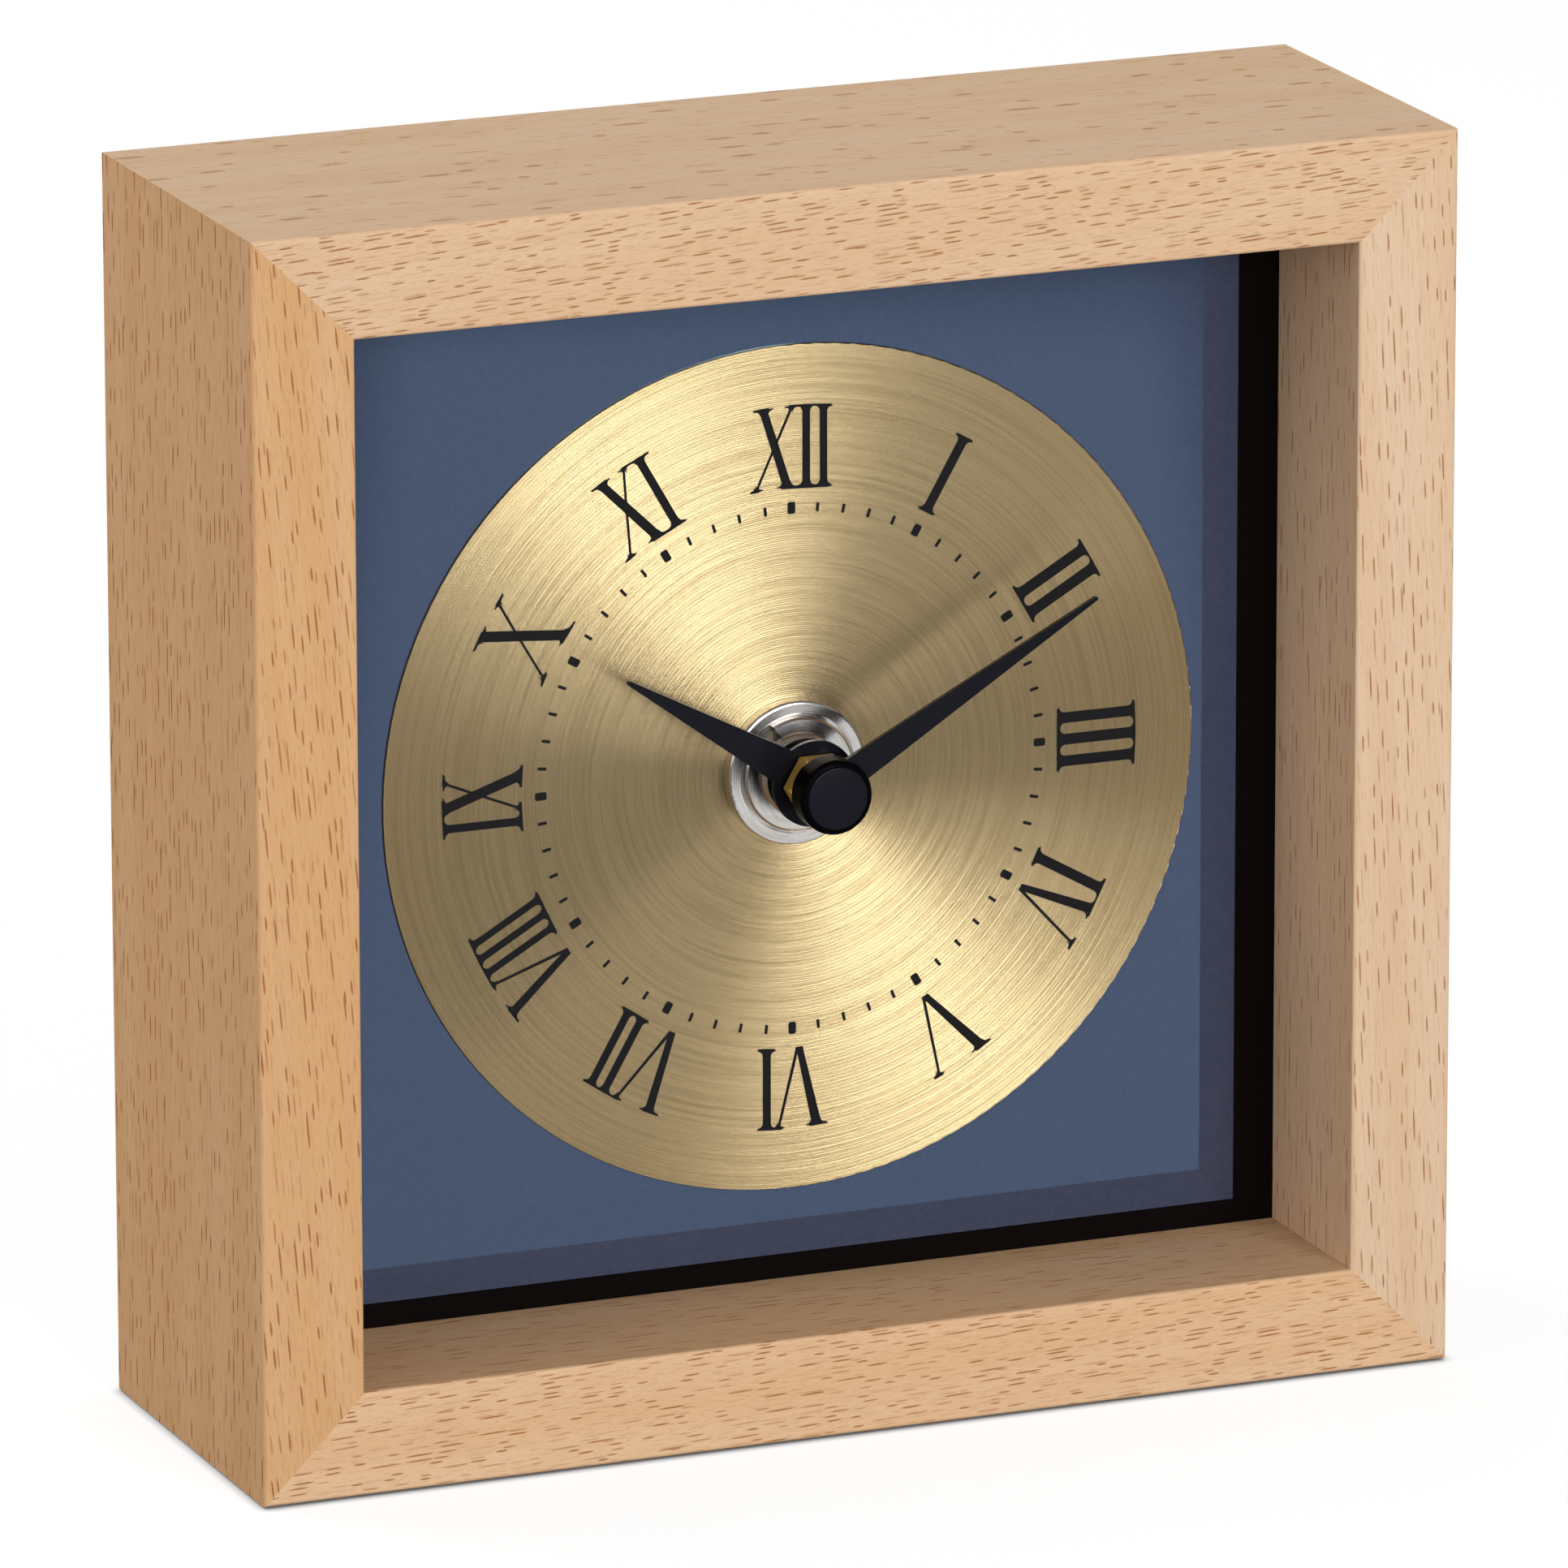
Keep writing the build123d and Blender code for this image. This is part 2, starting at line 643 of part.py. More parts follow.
# A contact: a pad at the cell and a strip up the wall to the circuit board
def contact_strip(inner_side):
    wall = Plane(origin=(inner_side, 0, axis_height), x_dir=(0, 1, 0), z_dir=(1, 0, 0))
    strip_axis = (circuit_front + circuit_rear) / 2
    with BuildSketch(wall) as strip:
        with Locations((cell_axis, cell_spot)):
            Rectangle(contact_pad, contact_pad)
        with Locations((strip_axis, (cell_spot + circuit_lift) / 2)):
            Rectangle(contact_width, circuit_lift - cell_spot)
    extrude(strip.sketch, amount=contact_thickness)


with BuildPart() as contact_positive:
    contact_strip(cell_end)
finish(contact_positive, "contact_positive")

with BuildPart() as contact_negative:
    contact_strip(-inner_half)
    with BuildSketch(Plane.XY.offset(axis_height + cell_spot - leaf_width / 2)):
        leaf_foot = -inner_half + contact_thickness
        half_span = leaf_span / 2
        with BuildLine():
            outer_leaf = ThreePointArc(
                (leaf_foot, cell_axis - half_span),
                (leaf_foot + leaf_bow, cell_axis),
                (leaf_foot, cell_axis + half_span),
            )
            inner_leaf = ThreePointArc(
                (leaf_foot, cell_axis - half_span + leaf_thickness),
                (leaf_foot + leaf_bow - leaf_thickness, cell_axis),
                (leaf_foot, cell_axis + half_span - leaf_thickness),
            )
            Line(outer_leaf @ 0, inner_leaf @ 0)
            Line(outer_leaf @ 1, inner_leaf @ 1)
        make_face()
    extrude(amount=leaf_width)
finish(contact_negative, "contact_negative")

# Circuit board and its crystal
with BuildPart() as circuit_board:
    with BuildSketch(facing(circuit_rear, (0, circuit_lift))):
        Rectangle(2 * cell_end, circuit_height)
    extrude(amount=circuit_thickness)
finish(circuit_board, "circuit_board")

with BuildPart() as quartz_crystal:
    crystal_start = crystal_offset - crystal_length / 2
    crystal_end = (crystal_start, circuit_rear + crystal_radius, axis_height + circuit_lift)
    with BuildSketch(Plane(origin=crystal_end, x_dir=(0, 1, 0), z_dir=(1, 0, 0))):
        Circle(crystal_radius)
    extrude(amount=crystal_length)
finish(quartz_crystal, "quartz_crystal")

# Stator: a core through the coil, two arms and a ring round the magnet
with BuildPart() as stator:
    with BuildSketch(facing(stator_rear)):
        core_middle = (coil_top + coil_bottom) / 2
        arm_end = coil_offset + core_width / 2
        arm_start = rotor_spot[0] - stator_arm / 2
        with Locations((coil_offset, core_middle)):
            Rectangle(core_width, coil_top - coil_bottom)
        for level in (coil_top - stator_arm / 2, coil_bottom + stator_arm / 2):
            with Locations(((arm_start + arm_end) / 2, level)):
                Rectangle(arm_end - arm_start, stator_arm)
        with Locations((rotor_spot[0], (coil_top + coil_bottom) / 2)):
            Rectangle(stator_arm, coil_top - coil_bottom)
        with Locations(rotor_spot):
            Circle(stator_radius)
            Circle(magnet_radius + magnet_gap, mode=Mode.SUBTRACT)
    extrude(amount=stator_thickness)
finish(stator, "stator")

# Coil: a flanged bobbin on the core, and its winding
bobbin_bottom = axis_height + coil_bottom + stator_arm + core_clearance
bobbin_top = axis_height + coil_top - stator_arm - core_clearance
coil_axis = (stator_front + stator_rear) / 2
with BuildPart() as coil_bobbin:
    for level, rise, radius in (
        (bobbin_bottom, bobbin_top - bobbin_bottom, barrel_radius),
        (bobbin_bottom, flange_thickness, bobbin_radius),
        (bobbin_top - flange_thickness, flange_thickness, bobbin_radius),
    ):
        with BuildSketch(Plane.XY.offset(level)):
            with Locations((coil_offset, coil_axis)):
                Circle(radius)
        extrude(amount=rise)
    with BuildSketch(Plane.XY.offset(bobbin_bottom)):
        with Locations((coil_offset, coil_axis)):
            Rectangle(core_width + 2 * core_clearance, stator_thickness + 2 * core_clearance)
    extrude(amount=bobbin_top - bobbin_bottom, mode=Mode.SUBTRACT)
finish(coil_bobbin, "coil_bobbin")

with BuildPart() as coil_winding:
    with BuildSketch(Plane.XY.offset(bobbin_bottom + flange_thickness)):
        with Locations((coil_offset, coil_axis)):
            Circle(winding_radius)
            Circle(barrel_radius, mode=Mode.SUBTRACT)
    extrude(amount=bobbin_top - bobbin_bottom - 2 * flange_thickness)
finish(coil_winding, "coil_winding")

# Rotor: a pinion on an arbor, with the magnet round it
with BuildPart() as rotor_pinion:
    pivoted_arbor(rotor_spot, rear_shoulder, train_plate_rear + axial_play, arbor_radius, pivot_radius)
    toothed(rotor_spot, rotor_pinion_rear, rotor_pinion_front, rotor_teeth, fast_module, rotor_phase)
finish(rotor_pinion, "rotor_pinion")

with BuildPart() as rotor_magnet:
    round_bar(rotor_spot, magnet_rear, magnet_front, magnet_radius)
    round_bar(rotor_spot, magnet_rear, magnet_front, arbor_radius, mode=Mode.SUBTRACT)
finish(rotor_magnet, "rotor_magnet")

# Going train
with BuildPart() as intermediate_wheel:
    toothed(
        intermediate_spot, intermediate_rear, intermediate_front,
        intermediate_teeth, fast_module, intermediate_phase,
    )
    crossed_out(
        intermediate_spot, intermediate_rear, intermediate_front, intermediate_teeth * fast_module / 2
    )
    toothed(
        intermediate_spot, intermediate_front, seconds_front - pinion_margin,
        intermediate_pinion_teeth, fast_module, intermediate_pinion_phase,
    )
    pivoted_arbor(
        intermediate_spot, rear_shoulder, train_plate_rear + axial_play, arbor_radius, pivot_radius
    )
finish(intermediate_wheel, "intermediate_wheel")

with BuildPart() as seconds_wheel:
    toothed(hand_spot, seconds_rear, seconds_front, seconds_teeth, fast_module, seconds_phase)
    crossed_out(hand_spot, seconds_rear, seconds_front, seconds_teeth * fast_module / 2)
    toothed(
        hand_spot, seconds_front, seconds_pinion_front,
        seconds_pinion_teeth, third_module, seconds_pinion_phase,
    )
    pivoted_arbor(hand_spot, rear_shoulder, seconds_pinion_front, arbor_radius, pivot_radius)
finish(seconds_wheel, "seconds_wheel")

with BuildPart() as third_wheel:
    toothed(third_spot, third_rear, third_front, third_teeth, third_module, third_phase)
    crossed_out(third_spot, third_rear, third_front, third_teeth * third_module / 2)
    toothed(
        third_spot, centre_rear + pinion_margin, centre_front - pinion_margin,
        third_pinion_teeth, centre_module, third_pinion_phase,
    )
    pivoted_arbor(third_spot, rear_shoulder, front_shoulder, arbor_radius, pivot_radius)
finish(third_wheel, "third_wheel")

with BuildPart() as centre_wheel:
    toothed(hand_spot, centre_rear, centre_front, centre_teeth, centre_module, centre_phase)
    crossed_out(hand_spot, centre_rear, centre_front, centre_teeth * centre_module / 2)
    round_bar(hand_spot, centre_rear, centre_front, minute_core_radius + running_fit, mode=Mode.SUBTRACT)
finish(centre_wheel, "centre_wheel")

# Minute arbor with its cannon pinion, and the clutch spring behind the centre wheel
with BuildPart() as minute_arbor:
    toothed(hand_spot, cannon_rear, cannon_front, cannon_teeth, motion_module, cannon_phase)
    round_bar(hand_spot, cannon_front, arbor_front, minute_arbor_diameter / 2)
    round_bar(hand_spot, train_plate_front - axial_play, cannon_front, minute_core_radius)
    round_bar(hand_spot, minute_arbor_rear, cannon_rear, minute_pivot_radius)
    socket_end = seconds_pinion_front - pivot_length - axial_play
    round_bar(hand_spot, minute_arbor_rear, socket_end, pivot_radius + running_fit, mode=Mode.SUBTRACT)
finish(minute_arbor, "minute_arbor")

with BuildPart() as clutch_spring:
    round_bar(hand_spot, clutch_rear, clutch_front, clutch_radius)
    round_bar(hand_spot, clutch_rear, clutch_front, minute_core_radius, mode=Mode.SUBTRACT)
finish(clutch_spring, "clutch_spring")

# Motion work
with BuildPart() as motion_wheel:
    toothed(motion_spot, motion_rear, motion_front, motion_teeth, motion_module, motion_phase)
    toothed(
        motion_spot, motion_front, hour_front, motion_pinion_teeth, hour_module, motion_pinion_phase
    )
    round_bar(motion_spot, motion_rear, hour_front, stud_radius + running_fit, mode=Mode.SUBTRACT)
finish(motion_wheel, "motion_wheel")

with BuildPart() as hour_wheel:
    toothed(hand_spot, hour_rear, hour_front, hour_teeth, hour_module, hour_phase)
    round_bar(hand_spot, hour_front, hour_hand_front, hour_tube_diameter / 2)
    bore = minute_arbor_diameter / 2 + running_fit
    round_bar(hand_spot, hour_rear, hour_hand_front, bore, mode=Mode.SUBTRACT)
finish(hour_wheel, "hour_wheel")

# Setting stem with its pinion, and the fluted knob at the back
stem_rear = knob_rear - knob_wall
with BuildPart() as set_stem:
    toothed(set_spot, cannon_rear, cannon_front, set_teeth, motion_module, set_phase)
    round_bar(set_spot, stem_rear, cannon_front, stem_radius)
    round_bar(set_spot, cannon_front, front_shoulder - pivot_length, stem_pivot_radius)
finish(set_stem, "set_stem")

with BuildPart() as set_knob:
    round_bar(set_spot, knob_rear, knob_front, knob_diameter / 2)
    chamfer(set_knob.edges().group_by(Axis.Y)[-1], knob_edge)
    with BuildSketch(facing(knob_rear, set_spot)):
        with PolarLocations(knob_diameter / 2, knob_flutes):
            Circle(flute_radius)
    extrude(amount=knob_thickness, mode=Mode.SUBTRACT)
    round_bar(set_spot, stem_rear, knob_front, stem_radius, mode=Mode.SUBTRACT)
finish(set_knob, "set_knob")
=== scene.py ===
import math

import bmesh
import bpy
from mathutils import Matrix, Vector
from mathutils.geometry import delaunay_2d_cdt


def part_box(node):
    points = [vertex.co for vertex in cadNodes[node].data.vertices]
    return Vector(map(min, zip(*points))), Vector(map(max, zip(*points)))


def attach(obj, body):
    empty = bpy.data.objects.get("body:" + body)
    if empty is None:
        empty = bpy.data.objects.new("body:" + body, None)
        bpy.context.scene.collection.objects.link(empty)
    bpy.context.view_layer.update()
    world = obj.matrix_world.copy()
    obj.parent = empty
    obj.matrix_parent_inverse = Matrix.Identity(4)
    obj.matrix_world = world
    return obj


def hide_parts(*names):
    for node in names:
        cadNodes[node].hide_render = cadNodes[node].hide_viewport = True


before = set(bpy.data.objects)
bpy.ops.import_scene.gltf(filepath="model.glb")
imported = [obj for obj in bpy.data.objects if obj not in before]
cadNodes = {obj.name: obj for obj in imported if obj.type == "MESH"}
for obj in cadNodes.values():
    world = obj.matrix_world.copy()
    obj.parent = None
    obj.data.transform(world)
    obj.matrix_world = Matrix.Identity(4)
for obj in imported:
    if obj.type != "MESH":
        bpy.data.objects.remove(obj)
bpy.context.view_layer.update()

dialLow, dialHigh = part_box("dial_disc")
dialAxis = Vector((0, 0, (dialLow.z + dialHigh.z) / 2))
dialFront = dialLow.y
handAxis = (0.0, dialAxis.z)                        # x and z of the line the hands turn about
fullTurn = 2 * math.pi
print("frame loaded:", len(cadNodes), "nodes, dial face at", round(dialFront * 1000, 2), "mm")


class Wire:                                         # a shader socket that can stand in a sum
    def __init__(self, paint, socket):
        self.paint, self.socket = paint, socket

    def maths(self, operation, *others):
        values = dict(enumerate((self, *others)))
        return self.paint.node("ShaderNodeMath", {"operation": operation}, values)

    def __add__(self, other):
        return self.maths("ADD", other)

    __radd__ = __add__

    def __mul__(self, other):
        return self.maths("MULTIPLY", other)

    __rmul__ = __mul__

    def __sub__(self, other):
        return self.maths("SUBTRACT", other)

    def __rsub__(self, other):
        return (self * -1) + other

    def __truediv__(self, other):
        return self.maths("DIVIDE", other)

    def __pow__(self, other):
        return self.maths("POWER", other)

    def within(self, low, high, start=0.0, end=1.0):         # eased step from one value to another
        values = {0: self, 1: low, 2: high, 3: start, 4: end}
        return self.paint.node("ShaderNodeMapRange", {"interpolation_type": "SMOOTHSTEP"}, values)


class Paint:                                        # a material, and the one way to add a node to it
    def __init__(self, name, kind="materials"):
        self.material = getattr(bpy.data, kind).new(name)
        self.material.use_nodes = True
        self.tree = self.material.node_tree
        self.tree.nodes.clear()

    def node(self, kind, settings=None, sockets=None, out=0):
        made = self.tree.nodes.new(kind)
        for key, value in (settings or {}).items():
            setattr(made, key, value)
        for key, value in (sockets or {}).items():
            if isinstance(value, Wire):
                self.tree.links.new(value.socket, made.inputs[key])
            else:
                made.inputs[key].default_value = value
        return Wire(self, made.outputs[out]) if made.outputs else None

    def split(self, vector):
        return [self.node("ShaderNodeSeparateXYZ", None, {0: vector}, out) for out in range(3)]

    def spot(self):                                 # the place on the piece, in metres
        return self.node("ShaderNodeTexCoord", out="Object")

    def place(self):                                # its x, y and z
        return self.split(self.spot())

    def vector(self, x, y, z):
        return self.node("ShaderNodeCombineXYZ", None, {0: x, 1: y, 2: z})

    def noise(self, vector, scale=1.0, detail=2.0, roughness=0.5):
        values = {"Vector": vector, "Scale": scale, "Detail": detail, "Roughness": roughness}
        return self.node("ShaderNodeTexNoise", {"noise_dimensions": "3D"}, values)

    def blend(self, factor, first, second):
        settings = {"data_type": "RGBA", "blend_type": "MIX"}
        return self.node("ShaderNodeMix", settings, {0: factor, 6: first, 7: second}, 2)

    def bump(self, height, distance, width=0.1):
        values = {"Height": height, "Distance": distance, "Filter Width": width}
        return self.node("ShaderNodeBump", None, values)

    def finish(self, **sockets):                    # Principled surface from named sockets
        names = {key.replace("_", " "): value for key, value in sockets.items()}
        surface = self.node("ShaderNodeBsdfPrincipled", None, names)
        self.node("ShaderNodeOutputMaterial", None, {"Surface": surface})
        return self.material


def rgb(red, green, blue):
    return (red, green, blue, 1)


def shaded(colour, *share):                         # a colour scaled channel by channel
    return rgb(*(c * s for c, s in zip(colour, share)))


def dress(nodeNames, material):
    for name in nodeNames:
        mesh = cadNodes[name].data
        mesh.materials.clear()
        mesh.materials.append(material)


# Beech
beechLook = {
    "waver": 0.0016, "waverRate": (9, 60, 60),      # slow sideways wander of the grain
    "frontFacing": (0.6, 0.8),                      # lean of a face from a side to a front
    "fleckDepth": 0.92, "fleckTint": (0.52, 0.31, 0.18), "fleckEdge": (1.0, 0.35),
    "fleckLeast": 0.55, "fleckSpread": 1.1, "fleckDraw": (0.05, 0.95, 0.18, 1.0),
    "dashDepth": 0.40, "dashTint": (0.62, 0.46, 0.33), "dashSize": 0.52,
    "bandDepth": 0.60, "bandTint": (0.93, 0.84, 0.72), "bandRange": (0.35, 0.68),
    "bandPitch": (0.11, 0.0042, 0.0042), "bandNoise": (1.0, 3.0, 0.55),
    "fibreDepth": 0.42, "fibreTint": (0.84, 0.77, 0.68), "fibreRange": (0.35, 0.75),
    "fibrePitch": (0.0100, 0.00036, 0.00036), "fibreNoise": (1.0, 4.0, 0.66),
    "relief": 0.00003, "fibreRelief": 0.5,
    "roughness": 0.55, "fleckRoughness": 0.12, "specular": 0.04,
    "boards": {                                     # fleck pitch and half size, along the grain and across it
        "frame_top": {
            "grain": 0, "seed": 3.1, "lean": -0.06, "tone": rgb(0.765, 0.540, 0.360),
            "front": {"pitch": (0.0036, 0.00043), "half": (0.00115, 0.000095)},
            "side": {"pitch": (0.0060, 0.00420), "half": (0.00140, 0.000420)},
            "sideDepth": 0.62, "sidePaintedLight": 0.98},
        "frame_bottom": {
            "grain": 0, "seed": 17.4, "lean": -0.04, "tone": rgb(0.780, 0.525, 0.325),
            "front": {"pitch": (0.0036, 0.00046), "half": (0.00115, 0.000095)},
            "side": {"pitch": (0.0050, 0.00110), "half": (0.00180, 0.000125)},
            "sideDepth": 0.95, "sidePaintedLight": 0.89},
        "frame_left": {
            "grain": 2, "seed": 41.7, "lean": 0.09, "tone": rgb(0.710, 0.430, 0.222),
            "front": {"pitch": (0.0040, 0.00078), "half": (0.00140, 0.000112)},
            "side": {"pitch": (0.0040, 0.00120), "half": (0.00155, 0.000170)},
            "sideDepth": 1.0, "sidePaintedLight": 1.09},
        "frame_right": {
            "grain": 2, "seed": 65.2, "lean": 0.05, "tone": rgb(0.770, 0.565, 0.395),
            "front": {"pitch": (0.0040, 0.00095), "half": (0.00140, 0.000100)},
            "side": {"pitch": (0.0048, 0.00125), "half": (0.00170, 0.000130)},
            "sideDepth": 0.95, "sidePaintedLight": 1.17},
    },
}


def beech(name, board):
    look = beechLook
    tone = board["tone"]
    paint = Paint(name)
    place = paint.place()
    along = place.pop(board["grain"]) + board["seed"]                     # metres along the board's grain
    depth, height = place if board["grain"] == 0 else place[::-1]
    rates = zip((along, depth, height), look["waverRate"])
    waver = (paint.noise(paint.vector(*(way * rate for way, rate in rates)), 1.0, 1.0) - 0.5) * look["waver"]
    spot = (along, height + along * board["lean"] + waver, depth + waver)
    facing = paint.split(paint.node("ShaderNodeNewGeometry", out="Normal"))
    onFront = facing[1].maths("ABSOLUTE").within(*look["frontFacing"])

    def choose(front, side):                        # a value for the front and back, another for the sides
        return onFront * (front - side) + side

    def flecks(size):                               # short dark dashes, rounded at both ends
        cells, steepness = [], []
        for k, way in enumerate((along, choose(spot[1], spot[2]))):
            pitches = [board[face]["pitch"][k] * size for face in ("front", "side")]
            halves = [board[face]["half"][k] * size for face in ("front", "side")]
            cells.append(way / choose(*pitches))
            steepness.append(choose(pitches[0] / halves[0], pitches[1] / halves[1]))
        settings = {"voronoi_dimensions": "2D"}
        lattice = {"Vector": paint.vector(*cells, 0.0), "Scale": 1.0, "Randomness": 1.0}
        seeds, lots = (paint.split(paint.node("ShaderNodeTexVoronoi", settings, lattice, out))
                       for out in ("Position", "Color"))
        away = [(cell - seed) * steep for cell, seed, steep in zip(cells, seeds, steepness)]
        away[0] = away[0] / (lots[0] ** 2 * look["fleckSpread"] + look["fleckLeast"])
        reach = away[0] * away[0] + away[1] * away[1]
        return reach.within(*look["fleckEdge"]) * lots[1].within(*look["fleckDraw"])

    def stretched(pitch):
        return paint.vector(*(s / p for s, p in zip(spot, pitch)))

    fleck, dash = flecks(1.0), flecks(look["dashSize"])
    band = paint.noise(stretched(look["bandPitch"]), *look["bandNoise"])
    fibre = paint.noise(stretched(look["fibrePitch"]), *look["fibreNoise"])
    colour = tone
    for part, amount in (("band", band.within(*look["bandRange"]) * look["bandDepth"]),
                         ("fibre", fibre.within(*look["fibreRange"]) * look["fibreDepth"]),
                         ("dash", dash * look["dashDepth"]),
                         ("fleck", fleck * choose(1.0, board["sideDepth"]) * look["fleckDepth"])):
        colour = paint.blend(amount, colour, shaded(tone, *look[part + "Tint"]))
    # Painted light and shade: faces that are not fronts (top, underside, outer sides and reveals) are scaled
    # lighter or darker, board by board, for how the light falls on them.
    colour = paint.node("ShaderNodeVectorMath", {"operation": "SCALE"},
                        {0: colour, "Scale": choose(1.0, board["sidePaintedLight"])})
    relief = paint.bump(fibre * look["fibreRelief"] - fleck, look["relief"])
    roughness = look["roughness"] + fleck * look["fleckRoughness"]
    return paint.finish(Base_Color=colour, Roughness=roughness, Normal=relief,
                        Specular_IOR_Level=look["specular"])


for boardName, board in beechLook["boards"].items():
    dress([boardName], beech(boardName.replace("frame", "beech"), board))
print("beech boards dressed")


# Panel and plate
panelLook = {
    "mottleScale": 1900, "mottleRange": (0.3, 0.7), "mottleTint": (1.35, 1.30, 1.22),
    "hazeNoise": (34, 3.0), "hazeRange": (0.3, 0.75, 0.012, 0.026),
    "blue": {"tone": rgb(0.033, 0.041, 0.081), "mottle": 0.5,
             "gloss": {"IOR": 1.96, "Specular_Tint": rgb(0.42, 0.66, 1.0)}},
    "black": {"tone": rgb(0.0038, 0.0028, 0.0030), "mottle": 0.6, "gloss": {"IOR": 1.13}},
}


def glossSheet(name, sheet):
    look = panelLook
    tone = sheet["tone"]
    paint = Paint(name)
    mottle = paint.noise(paint.spot(), look["mottleScale"]).within(*look["mottleRange"])
    haze = paint.noise(paint.spot(), *look["hazeNoise"]).within(*look["hazeRange"])
    colour = paint.blend(mottle * sheet["mottle"], tone, shaded(tone, *look["mottleTint"]))
    return paint.finish(Base_Color=colour, Roughness=haze, **sheet["gloss"])


dress(["colour_plate"], glossSheet("blue_gloss", panelLook["blue"]))
dress(["backing_board"], glossSheet("black_panel", panelLook["black"]))
print("panel dressed")


# Turned and brushed metals
turnedLook = {
    "arc": 1.3, "nearest": 1e-6,                    # hairlines per radian, and the least radius
    "driftRate": 0.05, "driftNoise": (1.0, 2.0, 0.6), "driftRange": (0.2, 0.7, 0.5, 1.0),
    "hairRate": 0.13, "hairNoise": (1.0, 3.0, 0.65), "hairRange": (0.35, 0.7),
    "wander": 3, "second": 1.618, "filter": 0.02,   # uneven grooves, the second set's rate, bump width
    "wear": 0.8, "wearTint": (0.74, 0.71, 0.66), "hairRoughness": 0.1,
    "dial": {"tone": rgb(0.610, 0.482, 0.267), "pitch": 0.00005, "slope": 0.90, "roughness": 0.22},
    "nickel": {"tone": rgb(0.76, 0.74, 0.72), "pitch": 0.00009, "slope": 0.12, "roughness": 0.15},
    "bush": {"tone": rgb(0.70, 0.67, 0.63), "pitch": 0.00008, "slope": 0.14, "roughness": 0.18},
    "arbor": {"tone": rgb(0.83, 0.60, 0.20), "pitch": 0.00010, "slope": 0.18, "roughness": 0.22},
    "wheel": {"tone": rgb(0.80, 0.58, 0.24), "pitch": 0.00010, "slope": 0.18, "roughness": 0.22},
    "wheels": ("rotor_pinion", "intermediate_wheel", "seconds_wheel", "third_wheel",
               "centre_wheel", "motion_wheel", "hour_wheel", "set_stem"),
}


def turned(name, metal, axis):
    look = turnedLook
    tone, pitch = metal["tone"], metal["pitch"]
    paint = Paint(name)
    x, _, z = paint.place()
    across, up = x - axis[0], z - axis[1]
    radius = (across * across + up * up).maths("SQRT") + look["nearest"]
    sweep = (across / radius * look["arc"], up / radius * look["arc"])
    drift = paint.noise(paint.vector(*sweep, radius / pitch * look["driftRate"]), *look["driftNoise"])
    hair = paint.noise(paint.vector(*sweep, radius / pitch * look["hairRate"]), *look["hairNoise"])
    phase = radius * (fullTurn / pitch) + drift * look["wander"]
    second = (phase * look["second"]).maths("SINE") / look["second"]
    groove = phase.maths("SINE") + second                                 # fine grooves round the axis
    relief = paint.bump(groove, pitch * metal["slope"] / (2 * fullTurn), look["filter"])
    worn = hair.within(*look["hairRange"]) * drift.within(*look["driftRange"]) * look["wear"]
    colour = paint.blend(worn, tone, shaded(tone, *look["wearTint"]))
    roughness = metal["roughness"] + (hair - 0.5) * look["hairRoughness"]
    return paint.finish(Base_Color=colour, Metallic=1.0, Roughness=roughness, Normal=relief)


dress(["dial_disc"], turned("dial_brass", turnedLook["dial"], handAxis))
dress(["cup_washer", "centre_nut"], turned("nickel", turnedLook["nickel"], handAxis))
for wheel in ("minute_arbor", *turnedLook["wheels"]):
    low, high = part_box(wheel)
    middle = ((low.x + high.x) / 2, (low.z + high.z) / 2)
    metal = turnedLook["arbor" if wheel == "minute_arbor" else "wheel"]
    dress([wheel], turned(wheel + "_brass", metal, middle))


# Plain mouldings, paints and springs: grain is its pitch and its depth
mouldingLook = {
    "grainNoise": (2.0, 0.6), "cloudNoise": (60, 3.0), "cloudRange": (0.35, 0.7), "cloudDepth": 0.5,
    "cloudTint": 1.25, "shineRange": (0.3, 0.75), "shineShare": (0.9, 1.12),
    "finishes": {
        "hand_black": {"pieces": ("hour_hand", "minute_hand"), "tone": rgb(0.0036, 0.0040, 0.0078),
                       "roughness": 0.30, "grain": (0.00016, 0.000005), "gloss": {"IOR": 1.22}},
        # Painted shade: the cap is kept darker than its raised face, so its rounded rim shows black, standing
        # in for the dark surroundings that rim would mirror.
        "cap_black": {"pieces": ("hand_cap",), "tone": rgb(0.0018, 0.0018, 0.0024),
                      "roughness": 0.28, "grain": (0.00022, 0.000005), "gloss": {"IOR": 1.06}},
        "bright_brass": {"pieces": ("hand_collet",), "tone": rgb(0.88, 0.60, 0.15), "cloudTint": 1.1,
                         "roughness": 0.34, "grain": (0.0002, 0.000005), "gloss": {"Metallic": 0.55}},
        "movement_black": {"pieces": ("movement_case", "rear_cover", "set_knob"),
                           "tone": rgb(0.020, 0.020, 0.022), "roughness": 0.46, "grain": (0.00016, 0.000016)},
        "white_moulding": {"pieces": ("train_plate", "coil_bobbin"), "tone": rgb(0.72, 0.71, 0.67),
                           "cloudTint": 0.94, "roughness": 0.45, "grain": (0.0002, 0.000008)},
        "circuit_green": {"pieces": ("circuit_board",), "tone": rgb(0.02, 0.12, 0.05),
                          "roughness": 0.25, "grain": (0.0004, 0.000012)},
        "magnet_grey": {"pieces": ("rotor_magnet",), "tone": rgb(0.12, 0.12, 0.13),
                        "roughness": 0.4, "grain": (0.0001, 0.000008)},
        "spring_steel": {"pieces": ("contact_positive", "contact_negative", "clutch_spring", "stator",
                                    "quartz_crystal"), "tone": rgb(0.58, 0.58, 0.57), "cloudTint": 1.1,
                         "roughness": 0.26, "grain": (0.00012, 0.000004), "gloss": {"Metallic": 1.0}},
    },
}


